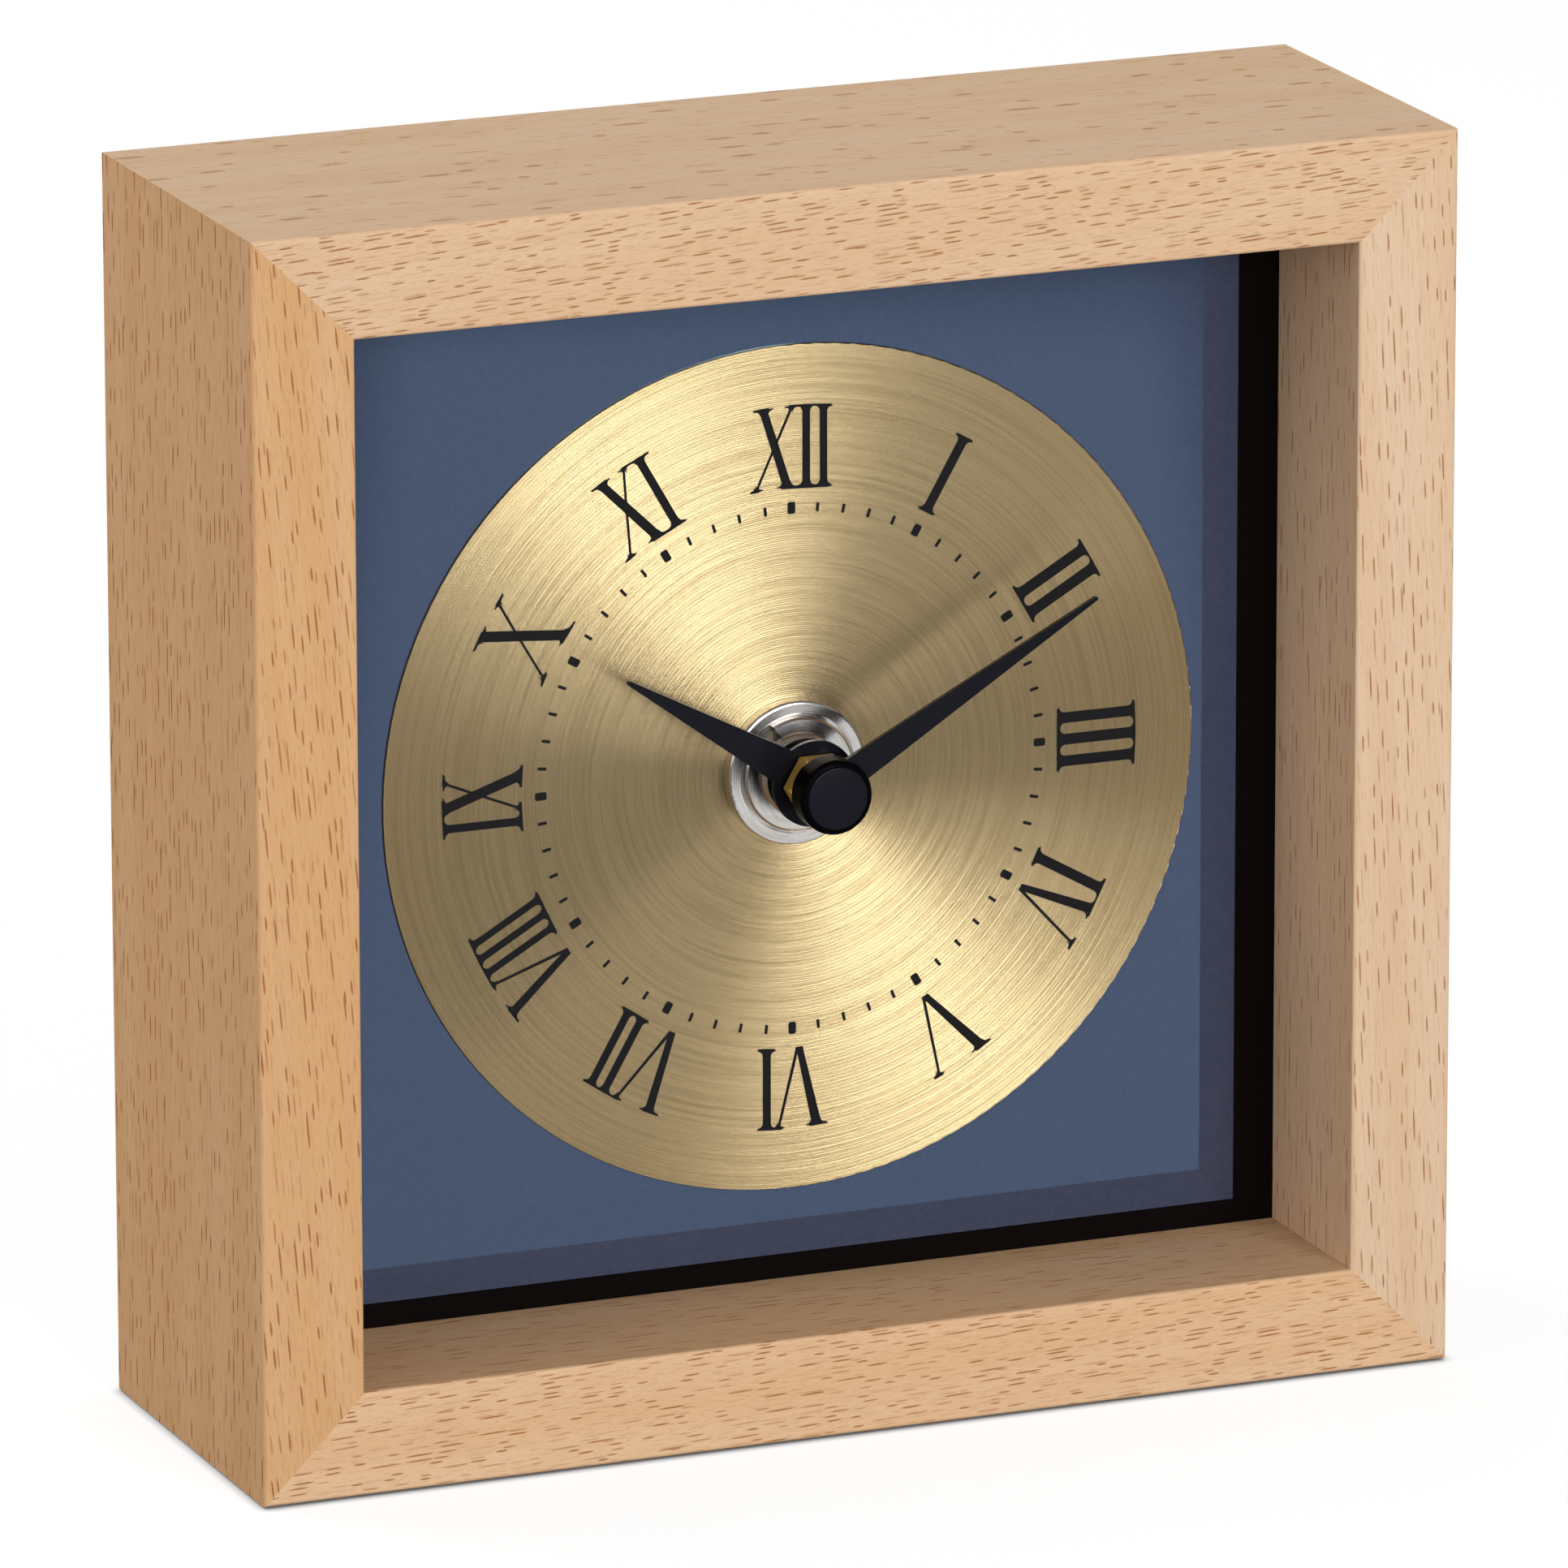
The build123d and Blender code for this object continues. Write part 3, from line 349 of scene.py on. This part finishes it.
def moulding(name, finish):
    look = mouldingLook
    tone, roughness = finish["tone"], finish["roughness"]
    tint = finish.get("cloudTint", look["cloudTint"])
    grainPitch, grainDepth = finish["grain"]
    paint = Paint(name)
    grain = paint.noise(paint.spot(), 1 / grainPitch, *look["grainNoise"])
    cloud = paint.noise(paint.spot(), *look["cloudNoise"])
    clouded = cloud.within(*look["cloudRange"]) * look["cloudDepth"]
    colour = paint.blend(clouded, tone, shaded(tone, tint, tint, tint))
    shine = cloud.within(*look["shineRange"], *(roughness * share for share in look["shineShare"]))
    return paint.finish(Base_Color=colour, Roughness=shine, Normal=paint.bump(grain, grainDepth),
                        **finish.get("gloss", {}))


for finishName, finish in mouldingLook["finishes"].items():
    dress(finish["pieces"], moulding(finishName, finish))


# Coil winding
windingLook = {"tone": rgb(0.62, 0.27, 0.12), "pitch": 0.00024, "paintedGapShade": (0.45, 0.4, 0.35),
               "roughness": 0.32, "relief": 0.00003}


def windings(name):
    look = windingLook
    paint = Paint(name)
    turns = (paint.place()[2] * (fullTurn / look["pitch"])).maths("SINE")
    # Painted shade: the copper darkens towards the grooves between the turns.
    colour = paint.blend(turns.within(-1, 1), shaded(look["tone"], *look["paintedGapShade"]), look["tone"])
    return paint.finish(Base_Color=colour, Metallic=1.0, Roughness=look["roughness"],
                        Normal=paint.bump(turns, look["relief"]))


dress(["coil_winding"], windings("copper_wire"))


# Cell jacket: bare metal at both ends, and a lighter band; edges in metres from the ends
cellLook = {"footBare": (0.0007, 0.0008), "headBare": (0.0019, 0.0020), "bandEdge": (0.0145, 0.0144),
            "wrap": rgb(0.045, 0.05, 0.058), "band": rgb(0.42, 0.43, 0.44), "bare": rgb(0.68, 0.68, 0.67),
            "scuffStretch": 6, "scuffNoise": (120, 3.0), "scuffRange": (0.3, 0.7, 0.2, 0.34)}


def cellJacket(name):
    look = cellLook
    low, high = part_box("battery_cell")
    paint = Paint(name)
    x, y, z = paint.place()
    stretch = look["scuffStretch"]
    scuff = paint.noise(paint.vector(x, y * stretch, z * stretch), *look["scuffNoise"])
    jacket = x.within(*(low.x + edge for edge in look["footBare"]))
    bare = 1 - jacket * x.within(*(high.x - edge for edge in look["headBare"]))
    band = x.within(*(high.x - edge for edge in look["bandEdge"])) * (1 - bare)
    colour = paint.blend(bare, paint.blend(band, look["wrap"], look["band"]), look["bare"])
    return paint.finish(Base_Color=colour, Metallic=bare, Roughness=scuff.within(*look["scuffRange"]))


dress(["battery_cell"], cellJacket("cell_jacket"))
print("metals and mouldings dressed")


# Meshes of the added pieces
def ring(bm, radii, y):                             # points about the hands' axis, one for each radius
    turns = [fullTurn * n / len(radii) for n in range(len(radii))]
    return [bm.verts.new((r * math.cos(t), y, dialAxis.z + r * math.sin(t))) for r, t in zip(radii, turns)]


def skin(bm, rings):                                # faces from each ring to the next
    for first, second in zip(rings, rings[1:]):
        for n in range(len(first)):
            after = (n + 1) % len(first)
            bm.faces.new((first[n], first[after], second[after], second[n]))


def meshFrom(bm, name, sharpFrom=None):             # flat faces, or smooth ones up to an angle in degrees
    bmesh.ops.recalc_face_normals(bm, faces=bm.faces)
    mesh = bpy.data.meshes.new(name)
    bm.to_mesh(mesh)
    bm.free()
    if sharpFrom:
        for face in mesh.polygons:
            face.use_smooth = True
        mesh.set_sharp_from_angle(angle=math.radians(sharpFrom))
    return mesh


def pieceFrom(name, mesh, material, body):
    piece = bpy.data.objects.new(name, mesh)
    bpy.context.scene.collection.objects.link(piece)
    mesh.materials.clear()
    mesh.materials.append(material)
    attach(piece, body)
    return piece


# Dial ink
inkLook = {"tone": rgb(0.0048, 0.0046, 0.0060), "roughness": 0.42, "grain": (0.00012, 0.000004),
           "gloss": {"IOR": 1.22}, "depth": 0.00003, "sunk": 0.00001}
inkBlack = moulding("dial_ink", inkLook)

# Numerals: strokes in millimetres, across from the middle and up from the foot
numeralLook = {
    "foot": 27.2, "height": 8.0, "ringBend": 66,    # foot from the centre; the bars bend with the ring
    "bar": 0.22, "barTip": 0.04, "barShoulder": 0.2, "barTipShare": 0.35,
    "bracket": 0.52, "bracketSteps": 5, "lap": 0.05, "barLap": 0.1,
    "hair": 0.27, "apexHalf": 0.33, "apexStart": 0.02,
    "straight": (0, 0), "veeTop": (0.12, 0.1), "veeHair": (0, -0.06),     # shifts of a stroke's two brackets
    "crossTop": (0.14, 0.12), "crossFoot": (-0.12, -0.14),
    "hairTop": (-0.1, -0.12), "hairFoot": (0.12, 0.1),
    "glyphs": {
        1: {"stems": [(-0.47, 0.47)], "tops": [(-0.92, 0.92)], "feet": [(-0.86, 0.86)]},
        2: {"stems": [(-1.65, -0.55), (0.55, 1.65)], "tops": [(-2.2, 2.2)], "feet": [(-2.1, 2.1)]},
        3: {"stems": [(-2.64, -1.6), (-0.53, 0.53), (1.6, 2.64)],
            "tops": [(-3.12, 3.12)], "feet": [(-3.05, 3.05)]},
        4: {"stems": [(-3.31, -2.31)], "vee": (-1.2, -0.18, 0.44, 3.1),
            "tops": [(-3.8, 0.15), (2.46, 3.8)], "feet": [(-3.7, -1.9)]},
        5: {"vee": (-2.72, -1.68, 0.07, 2.8), "tops": [(-3.38, -1.5), (2.3, 3.4)]},
        6: {"stems": [(2.2, 3.0)], "vee": (-2.98, -2.02, -0.72, 1.45),
            "tops": [(-3.64, -1.75), (1.0, 3.64)], "feet": [(1.75, 3.5)]},
        7: {"stems": [(1.5, 2.27), (3.07, 3.84)], "vee": (-3.72, -2.85, -1.64, 0.48),
            "tops": [(-4.4, -2.6), (0.1, 4.4)], "feet": [(1.1, 4.25)]},
        8: {"stems": [(0.7, 1.38), (2.28, 2.98), (3.86, 4.54)], "vee": (-4.2, -3.34, -1.9, -0.24),
            "tops": [(-4.95, -3.1), (-0.68, 4.98)], "feet": [(0.3, 4.9)]},
        9: {"stems": [(-2.57, -1.78)], "cross": (-0.86, 0.18, 1.8, 2.86, 2.3, -0.96),
            "tops": [(-3.2, 0.6), (1.95, 3.16)], "feet": [(-3.2, -0.3), (1.05, 3.3)]},
        10: {"cross": (-2.37, -1.27, 1.4, 2.52, 1.86, -2.7),
             "tops": [(-3.3, -1.2), (1.43, 2.83)], "feet": [(-3.46, -2.1), (1.0, 3.5)]},
        11: {"stems": [(2.04, 2.86)], "cross": (-2.35, -1.47, -0.15, 0.83, 0.83, -3.0),
             "tops": [(-3.05, -1.1), (0.44, 3.68)], "feet": [(-3.66, -2.3), (-0.4, 3.5)]},
        12: {"stems": [(1.12, 1.89), (2.87, 3.62)], "cross": (-3.27, -2.46, -0.81, 0.08, 0.13, -3.6),
             "tops": [(-3.93, -2.2), (-0.26, 4.08)], "feet": [(-4.1, -3.2), (-1.1, 4.0)]},
    },
}


def bracket(x, side, atTop):                        # hollow corner between a stroke and its bar
    look = numeralLook
    reach, steps = look["bracket"], look["bracketSteps"]
    edge = look["height"] - look["bar"] if atTop else look["bar"]
    turn = -1 if atTop else 1
    inside, under = x - side * look["lap"], edge - turn * look["barLap"]
    arc = [(x + side * reach * (1 - math.sin(a)), edge + turn * reach * (1 - math.cos(a)))
           for a in (math.pi / 2 * k / steps for k in range(steps + 1))]
    return [(inside, under), (x + side * reach, under), *arc, (inside, edge + turn * reach)]


def brackets(left, right, shift, atTop):
    return [bracket(left + shift[0], -1, atTop), bracket(right + shift[1], 1, atTop)]


def serif(start, end, atTop):                       # bar with pointed ends
    look = numeralLook
    outer = look["height"] if atTop else 0.0
    inner = outer - look["bar"] if atTop else look["bar"]
    tip = outer + (inner - outer) * look["barTipShare"]
    return [(start, outer), (end, outer), (end - look["barTip"], tip), (end - look["barShoulder"], inner),
            (start + look["barShoulder"], inner), (start + look["barTip"], tip)]


def slanted(topLeft, topRight, footLeft, footRight, foot=0.0):
    top = numeralLook["height"] - numeralLook["lap"]
    return [(topLeft, top), (topRight, top), (footRight, foot), (footLeft, foot)]


def numeralStrokes(glyph):
    look = numeralLook
    hair, lap, half = look["hair"] / 2, look["lap"], look["apexHalf"]
    strokes = [serif(a, b, True) for a, b in glyph.get("tops", [])]
    strokes += [serif(a, b, False) for a, b in glyph.get("feet", [])]
    for left, right in glyph.get("stems", []):
        top = look["height"] - lap
        strokes.append([(left, lap), (right, lap), (right, top), (left, top)])
        for atTop in (True, False):
            strokes += brackets(left, right, look["straight"], atTop)
    if "vee" in glyph:
        left, right, apex, thin = glyph["vee"]
        strokes.append(slanted(left, right, apex - half, apex + half))
        strokes.append(slanted(thin - hair, thin + hair, apex + look["apexStart"], apex + half))
        strokes += brackets(left, right, look["veeTop"], True)
        strokes += brackets(thin - hair, thin + hair, look["veeHair"], True)
    if "cross" in glyph:
        left, right, footLeft, footRight, thinTop, thinFoot = glyph["cross"]
        strokes.append(slanted(left, right, footLeft, footRight, lap))
        strokes.append(slanted(thinTop - hair, thinTop + hair, thinFoot - hair, thinFoot + hair, lap))
        strokes += brackets(left, right, look["crossTop"], True)
        strokes += brackets(footLeft, footRight, look["crossFoot"], False)
        strokes += brackets(thinTop - hair, thinTop + hair, look["hairTop"], True)
        strokes += brackets(thinFoot - hair, thinFoot + hair, look["hairFoot"], False)
    return strokes


def numeralMesh(hour, glyph, into):                 # strokes joined to one flat sheet, then given ink depth
    points, loops = [], []
    for stroke in numeralStrokes(glyph):
        area = sum(a[0] * b[1] - b[0] * a[1] for a, b in zip(stroke, stroke[1:] + stroke[:1]))
        order = range(len(stroke)) if area > 0 else reversed(range(len(stroke)))
        loops.append([len(points) + k for k in order])
        points += [Vector(p) for p in stroke]
    flat, _, faces, _, _, sources = delaunay_2d_cdt(points, [], loops, 1, 1e-5)
    faces = [face for face, source in zip(faces, sources) if source]      # slots between stems stay open
    turn = fullTurn * hour / 12
    outward = Vector((math.sin(turn), 0, math.cos(turn)))
    clockwise = Vector((math.cos(turn), 0, -math.sin(turn)))
    layers = []
    for place in (dialFront + inkLook["sunk"], dialFront - inkLook["depth"]):
        layer = []
        for p in flat:
            lift = numeralLook["foot"] + p.y - p.x * p.x / numeralLook["ringBend"]
            spot = dialAxis + (outward * lift + clockwise * p.x) / 1000
            layer.append(into.verts.new((spot.x, place, spot.z)))
        layers.append(layer)
    rims = {}                                       # edges with a face on one side only
    for face in faces:
        into.faces.new([layers[1][k] for k in face])
        for a, b in zip(face, face[1:] + face[:1]):
            if (b, a) in rims:
                del rims[(b, a)]
            else:
                rims[(a, b)] = True
    for a, b in rims:
        into.faces.new([layers[0][a], layers[0][b], layers[1][b], layers[1][a]])


numeralSheet = bmesh.new()
for hour, glyph in numeralLook["glyphs"].items():
    numeralMesh(hour, glyph, numeralSheet)
numeralData = meshFrom(numeralSheet, "dial_numerals")
pieceFrom("dial_numerals", numeralData, inkBlack, "case")
print("numerals:", len(numeralData.polygons), "faces")


# Minute and hour marks, set round the dial by Geometry Nodes
markLook = {"count": 60, "perHour": 5, "corner": 0.24, "cornerSteps": 3,
            "sizes": {"Ring": 0.02528, "Tick Width": 0.0003, "Tick Length": 0.00086,
                      "Block Width": 0.00078, "Block Length": 0.00115, "Ink Depth": inkLook["depth"]}}


class Tree:                                         # a Geometry Nodes tree with named size inputs
    def __init__(self, name, sizes):
        self.group = bpy.data.node_groups.new(name, "GeometryNodeTree")
        face = self.group.interface
        self.keys = {}
        for label, value in sizes.items():
            socket = face.new_socket(label, in_out="INPUT", socket_type="NodeSocketFloat")
            self.keys[socket.identifier] = value
        face.new_socket("Geometry", in_out="OUTPUT", socket_type="NodeSocketGeometry")
        self.sizes = {s.name: s for s in self.group.nodes.new("NodeGroupInput").outputs if s.name}

    def node(self, kind, settings=None, sockets=None):
        made = self.group.nodes.new(kind)
        for key, value in (settings or {}).items():
            setattr(made, key, value)
        for key, value in (sockets or {}).items():
            if isinstance(value, bpy.types.NodeSocket):
                self.group.links.new(value, made.inputs[key])
            else:
                made.inputs[key].default_value = value
        return made.outputs[0] if made.outputs else None

    def maths(self, operation, *values):
        return self.node("ShaderNodeMath", {"operation": operation}, dict(enumerate(values)))

    def harvest(self, geometry, name, material):    # ends the tree and gives its result as a plain mesh
        solid = self.node("GeometryNodeRealizeInstances", None, {0: geometry})
        painted = self.node("GeometryNodeSetMaterial", None, {"Geometry": solid, "Material": material})
        self.node("NodeGroupOutput", None, {0: painted})
        holder = bpy.data.objects.new(name + "_holder", bpy.data.meshes.new(name + "_holder"))
        bpy.context.scene.collection.objects.link(holder)
        modifier = holder.modifiers.new("nodes", "NODES")
        modifier.node_group = self.group
        for identifier, value in self.keys.items():
            modifier[identifier] = value
        graph = bpy.context.evaluated_depsgraph_get()
        mesh = bpy.data.meshes.new_from_object(holder.evaluated_get(graph))
        mesh.name = name
        holder.modifiers.remove(modifier)
        bpy.data.objects.remove(holder)
        return mesh


def dialMarks():
    look = markLook
    tree = Tree("dial_marks", look["sizes"])
    size = tree.sizes
    index = tree.node("GeometryNodeInputIndex")
    turn = tree.maths("MULTIPLY", index, fullTurn / look["count"])
    across, up = (tree.maths("MULTIPLY", tree.maths(way, turn), size["Ring"]) for way in ("SINE", "COSINE"))
    spot = tree.node("ShaderNodeCombineXYZ", None, {
        0: across, 1: dialFront + inkLook["sunk"], 2: tree.maths("ADD", up, dialAxis.z)})
    points = tree.node("GeometryNodePoints", None, {"Count": look["count"], "Position": spot})
    heading = tree.node("ShaderNodeCombineXYZ", None, {1: turn})
    onHour = tree.node("FunctionNodeCompare", {"data_type": "FLOAT", "operation": "LESS_THAN"},
                       {0: tree.maths("MODULO", index, look["perHour"]), 1: 0.5})
    between = tree.node("FunctionNodeBooleanMath", {"operation": "NOT"}, {0: onHour})
    join = tree.group.nodes.new("GeometryNodeJoinGeometry")
    for kind, chosen in (("Tick", between), ("Block", onHour)):
        width, length = size[kind + " Width"], size[kind + " Length"]
        outline = tree.node("GeometryNodeCurvePrimitiveQuadrilateral", None,
                            {"Width": width, "Height": length})
        corner = tree.maths("MULTIPLY", width, look["corner"])
        outline = tree.node("GeometryNodeFilletCurve", {"mode": "POLY"},
                            {"Curve": outline, "Radius": corner, "Count": look["cornerSteps"]})
        sheet = tree.node("GeometryNodeFillCurve", {"mode": "NGONS"}, {"Curve": outline})
        block = tree.node("GeometryNodeExtrudeMesh", {"mode": "FACES"},
                          {"Mesh": sheet, "Offset Scale": size["Ink Depth"], "Individual": False})
        stood = tree.node("GeometryNodeTransform", None, {"Geometry": block, "Rotation": (math.pi / 2, 0, 0)})
        placed = tree.node("GeometryNodeInstanceOnPoints", None, {
            "Points": points, "Selection": chosen, "Instance": stood, "Rotation": heading})
        tree.group.links.new(placed, join.inputs[0])
    return tree.harvest(join.outputs[0], "dial_marks", inkBlack)


markData = dialMarks()
pieceFrom("dial_marks", markData, inkBlack, "case")
print("dial marks:", len(markData.polygons), "faces")


# Bush with its fine thread, in place of the plain one
bushLook = {"pitch": 0.00075, "depth": 0.00034, "profile": 1.4, "chamfer": 0.0003, "bore": 0.00265,
            "rounds": 96, "steps": 12, "sharpFrom": 35}


def threadedBush():
    look = bushLook
    low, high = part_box("centre_bush")
    outer, rounds = (high.x - low.x) / 2, look["rounds"]
    stations = int((high.y - low.y) / look["pitch"] * look["steps"])
    bm = bmesh.new()
    rows = []
    for k in range(stations + 1):
        y = low.y + (high.y - low.y) * k / stations
        chamfer = max(0.0, look["chamfer"] - (y - low.y))                 # at the open end
        waves = [((y - low.y) / look["pitch"] + n / rounds) % 1 for n in range(rounds)]
        grooves = [abs(2 * wave - 1) ** look["profile"] * look["depth"] for wave in waves]
        rows.append(ring(bm, [outer - max(groove, chamfer) for groove in grooves], y))
    boreFront, boreRear = (ring(bm, [look["bore"]] * rounds, y) for y in (low.y, high.y))
    skin(bm, rows + [boreRear, boreFront, rows[0]])
    return meshFrom(bm, "threaded_bush", look["sharpFrom"])


bushNickel = turned("bush_nickel", turnedLook["bush"], handAxis)
bush = pieceFrom("threaded_bush", threadedBush(), bushNickel, "case")
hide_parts("centre_bush")
print("bush threaded")


# Raised round face of the hand cap
# The face is lighter than the cap around it; the cap's darker rim is painted shade.
faceLook = {"radius": 0.00300, "lift": 0.00012, "sunk": 0.00005, "rounds": 96, "steps": 5, "sharpFrom": 35,
            "tone": rgb(0.0052, 0.0052, 0.0100), "roughness": 0.28, "grain": (0.00022, 0.000005),
            "gloss": {"IOR": 1.20}}


def capFace():
    look = faceLook
    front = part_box("hand_cap")[0].y
    profile = [(look["radius"], front + look["sunk"])]
    for k in range(look["steps"] + 1):                                    # rounded edge
        a = math.pi / 2 * k / look["steps"]
        inset, rise = look["lift"] * (1 - math.cos(a)), look["lift"] * math.sin(a)
        profile.append((look["radius"] - inset, front - rise))
    bm = bmesh.new()
    rings = [ring(bm, [radius] * look["rounds"], y) for radius, y in profile]
    skin(bm, rings)
    bm.faces.new(rings[0])
    bm.faces.new(rings[-1])
    return meshFrom(bm, "cap_face", look["sharpFrom"])


pieceFrom("cap_face", capFace(), moulding("face_black", faceLook), "minute_group")
print("cap faced")


# Raised signs on the rear cover: which way the knob turns, and the poles of the cell
signLook = {"stroke": 0.0006, "lift": 0.00022, "sunk": 0.00005,
            "arcRadius": 0.0079, "arcStart": 140, "arcEnd": 50, "arcSteps": 24,
            "barb": 0.0011, "barbLength": 1.7,
            "poleSize": 0.0028, "poleInset": 0.0050, "poleRise": 0.0030,
            "tone": rgb(0.075, 0.075, 0.078), "roughness": 0.42, "grain": (0.00016, 0.000010)}


def coverSigns():
    look = signLook
    coverLow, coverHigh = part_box("rear_cover")
    cellLow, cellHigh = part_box("battery_cell")
    knobLow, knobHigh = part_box("set_knob")
    knobX, knobZ = (knobLow.x + knobHigh.x) / 2, (knobLow.z + knobHigh.z) / 2
    s, a, r, barb = look["stroke"] / 2, look["poleSize"] / 2, look["arcRadius"], look["barb"]
    sweep, steps = look["arcEnd"] - look["arcStart"], look["arcSteps"]
    turns = [math.radians(look["arcStart"] + sweep * k / steps) for k in range(steps + 1)]
    tip = turns[-1] - look["barbLength"] * barb / r
    rounds = [(r + s, t) for t in turns] + [(r + barb, turns[-1]), (r, tip), (r - barb, turns[-1])]
    rounds += [(r - s, t) for t in reversed(turns)]
    arrow = [(knobX + reach * math.cos(t), knobZ + reach * math.sin(t)) for reach, t in rounds]
    cross = [(s, s), (s, a), (-s, a), (-s, s), (-a, s), (-a, -s),
             (-s, -s), (-s, -a), (s, -a), (s, -s), (a, -s), (a, s)]
    dash = [(a, s), (-a, s), (-a, -s), (a, -s)]
    outlines = [arrow]
    for sign, spot in ((cross, cellHigh.x - look["poleInset"]), (dash, cellLow.x + look["poleInset"])):
        outlines.append([(spot + x, coverLow.z + look["poleRise"] + z) for x, z in sign])
    bm = bmesh.new()
    for outline in outlines:
        foot, face = ([bm.verts.new((x, y, z)) for x, z in outline]
                      for y in (coverHigh.y - look["sunk"], coverHigh.y + look["lift"]))
        bm.faces.new(foot)
        bm.faces.new(face)
        skin(bm, [foot, face])
    return meshFrom(bm, "cover_signs")


pieceFrom("cover_signs", coverSigns(), moulding("sign_grey", signLook), "case")
print("rear cover signed")


# Floor, light and camera
floorLook = {
    "tone": rgb(0.23, 0.23, 0.23), "speckTint": (0.99, 0.99, 0.99), "speckScale": 40,
    "size": 6.0, "cells": 8, "drop": 0.0002, "glow": 0.84,
    "heading": (0.375, 0.927),                      # the way the plate mirrors the camera, x and y
    "mirrorGlow": 0.74, "mirrorGlowStart": (0.01, 0.03), "mirrorGlowEnd": (0.50, 0.40), "mirrorGlowHalf": (0.058, 0.042),
    "behind": (-0.03, 0.03), "contact": 0.0011, "contactSamples": 8,
}
worldLook = {"tone": rgb(1, 1, 1), "ambient": 0.23, "backdrop": 1.0, "behind": (0.0, 0.25)}
lampLook = {                                        # bearing, lift, distance, width, height, watts
    "keyLamp": (7.2, 12, 1.25, 0.63, 0.50, 11.8),
    "topLamp": (180, 82, 1.20, 0.60, 0.60, 3.55),
    "rearLamp": (222, 22, 1.40, 0.70, 0.60, 7.0),
    "leftLamp": (-79, 17, 1.30, 0.60, 0.60, 2.05),
    "fillLamp": (-45, 12, 1.30, 0.60, 0.60, 1.45),
    "rightLamp": (99, 14, 1.30, 0.60, 0.60, 2.0),
}
cameraLook = {"place": (-0.5125, -1.2532, 0.4287), "turn": (74.688, 0.093, -22.272),
              "lens": 342.9, "sensor": 36.0, "far": 50}


def pale(paint, around):                            # rays that see the white background
    camera, glossy, clear = (paint.node("ShaderNodeLightPath", None, None, out)
                             for out in ("Is Camera Ray", "Is Glossy Ray", "Is Transmission Ray"))
    return camera.maths("MAXIMUM", glossy.maths("MAXIMUM", clear) * around)


def layFloor():
    look = floorLook
    paint = Paint("floor_white")
    x, y, _ = paint.place()
    east, south = look["heading"]
    lead, aside = x * east - y * south, x * south + y * east
    mirrorGlow = lead.within(*look["mirrorGlowStart"]) * lead.within(*look["mirrorGlowEnd"])
    mirrorGlow = mirrorGlow * aside.maths("ABSOLUTE").within(*look["mirrorGlowHalf"])       # a patch of floor in front that glows, seen only in reflections, where the blue plate mirrors the camera
    around = y.within(*look["behind"]).maths("MAXIMUM", mirrorGlow * look["mirrorGlow"])
    contact = paint.node("ShaderNodeAmbientOcclusion", {"samples": look["contactSamples"]},
                         {"Distance": look["contact"]}, "AO")
    seen = pale(paint, around) * contact            # a thin shade under the bottom edges
    speck = paint.noise(paint.spot(), look["speckScale"])
    tone = paint.blend(speck, look["tone"], shaded(look["tone"], *look["speckTint"]))
    cloth = paint.node("ShaderNodeBsdfDiffuse", None, {"Color": tone})
    glow = paint.node("ShaderNodeEmission", None, {"Color": rgb(1, 1, 1), "Strength": look["glow"]})
    both = paint.node("ShaderNodeAddShader", None, {0: cloth, 1: glow})
    surface = paint.node("ShaderNodeMixShader", None, {0: seen, 1: cloth, 2: both})
    paint.node("ShaderNodeOutputMaterial", None, {"Surface": surface})
    bm = bmesh.new()
    bmesh.ops.create_grid(bm, x_segments=look["cells"], y_segments=look["cells"], size=look["size"])
    mesh = bpy.data.meshes.new("floor")
    bm.to_mesh(mesh)
    bm.free()
    mesh.transform(Matrix.Translation((0, 0, -look["drop"])))
    mesh.materials.append(paint.material)
    floor = bpy.data.objects.new("floor", mesh)
    bpy.context.scene.collection.objects.link(floor)


def lightWorld():
    look = worldLook
    paint = Paint("studio", "worlds")
    bpy.context.scene.world = paint.material
    heading = paint.split(paint.node("ShaderNodeTexCoord", out="Generated"))
    air, white = (paint.node("ShaderNodeBackground", None, {"Color": look["tone"], "Strength": look[level]})
                  for level in ("ambient", "backdrop"))
    seen = pale(paint, heading[1].within(*look["behind"]))                # the backdrop stands behind
    surface = paint.node("ShaderNodeMixShader", None, {0: seen, 1: air, 2: white})
    paint.node("ShaderNodeOutputWorld", None, {"Surface": surface})


def hangLamps():
    for name, (bearing, lift, distance, width, height, watts) in lampLook.items():
        lamp = bpy.data.lights.new(name, "AREA")
        lamp.shape, lamp.size, lamp.size_y, lamp.energy = "RECTANGLE", width, height, watts
        holder = bpy.data.objects.new(name, lamp)
        a, e = math.radians(bearing), math.radians(lift)
        aim = Vector((math.sin(a) * math.cos(e), -math.cos(a) * math.cos(e), math.sin(e)))
        holder.location = dialAxis + aim * distance
        holder.rotation_euler = aim.to_track_quat("Z", "Y").to_euler()
        holder.visible_camera = False
        bpy.context.scene.collection.objects.link(holder)


def setCamera():
    look = cameraLook
    camera = bpy.data.cameras.new("photo_camera")
    camera.lens, camera.sensor_width, camera.clip_end = look["lens"], look["sensor"], look["far"]
    holder = bpy.data.objects.new("photo_camera", camera)
    holder.location = look["place"]
    holder.rotation_euler = [math.radians(turn) for turn in look["turn"]]
    bpy.context.scene.collection.objects.link(holder)
    bpy.context.scene.camera = holder


layFloor()
lightWorld()
hangLamps()
setCamera()
bpy.context.scene.view_settings.view_transform = "Standard"
print("stage set")
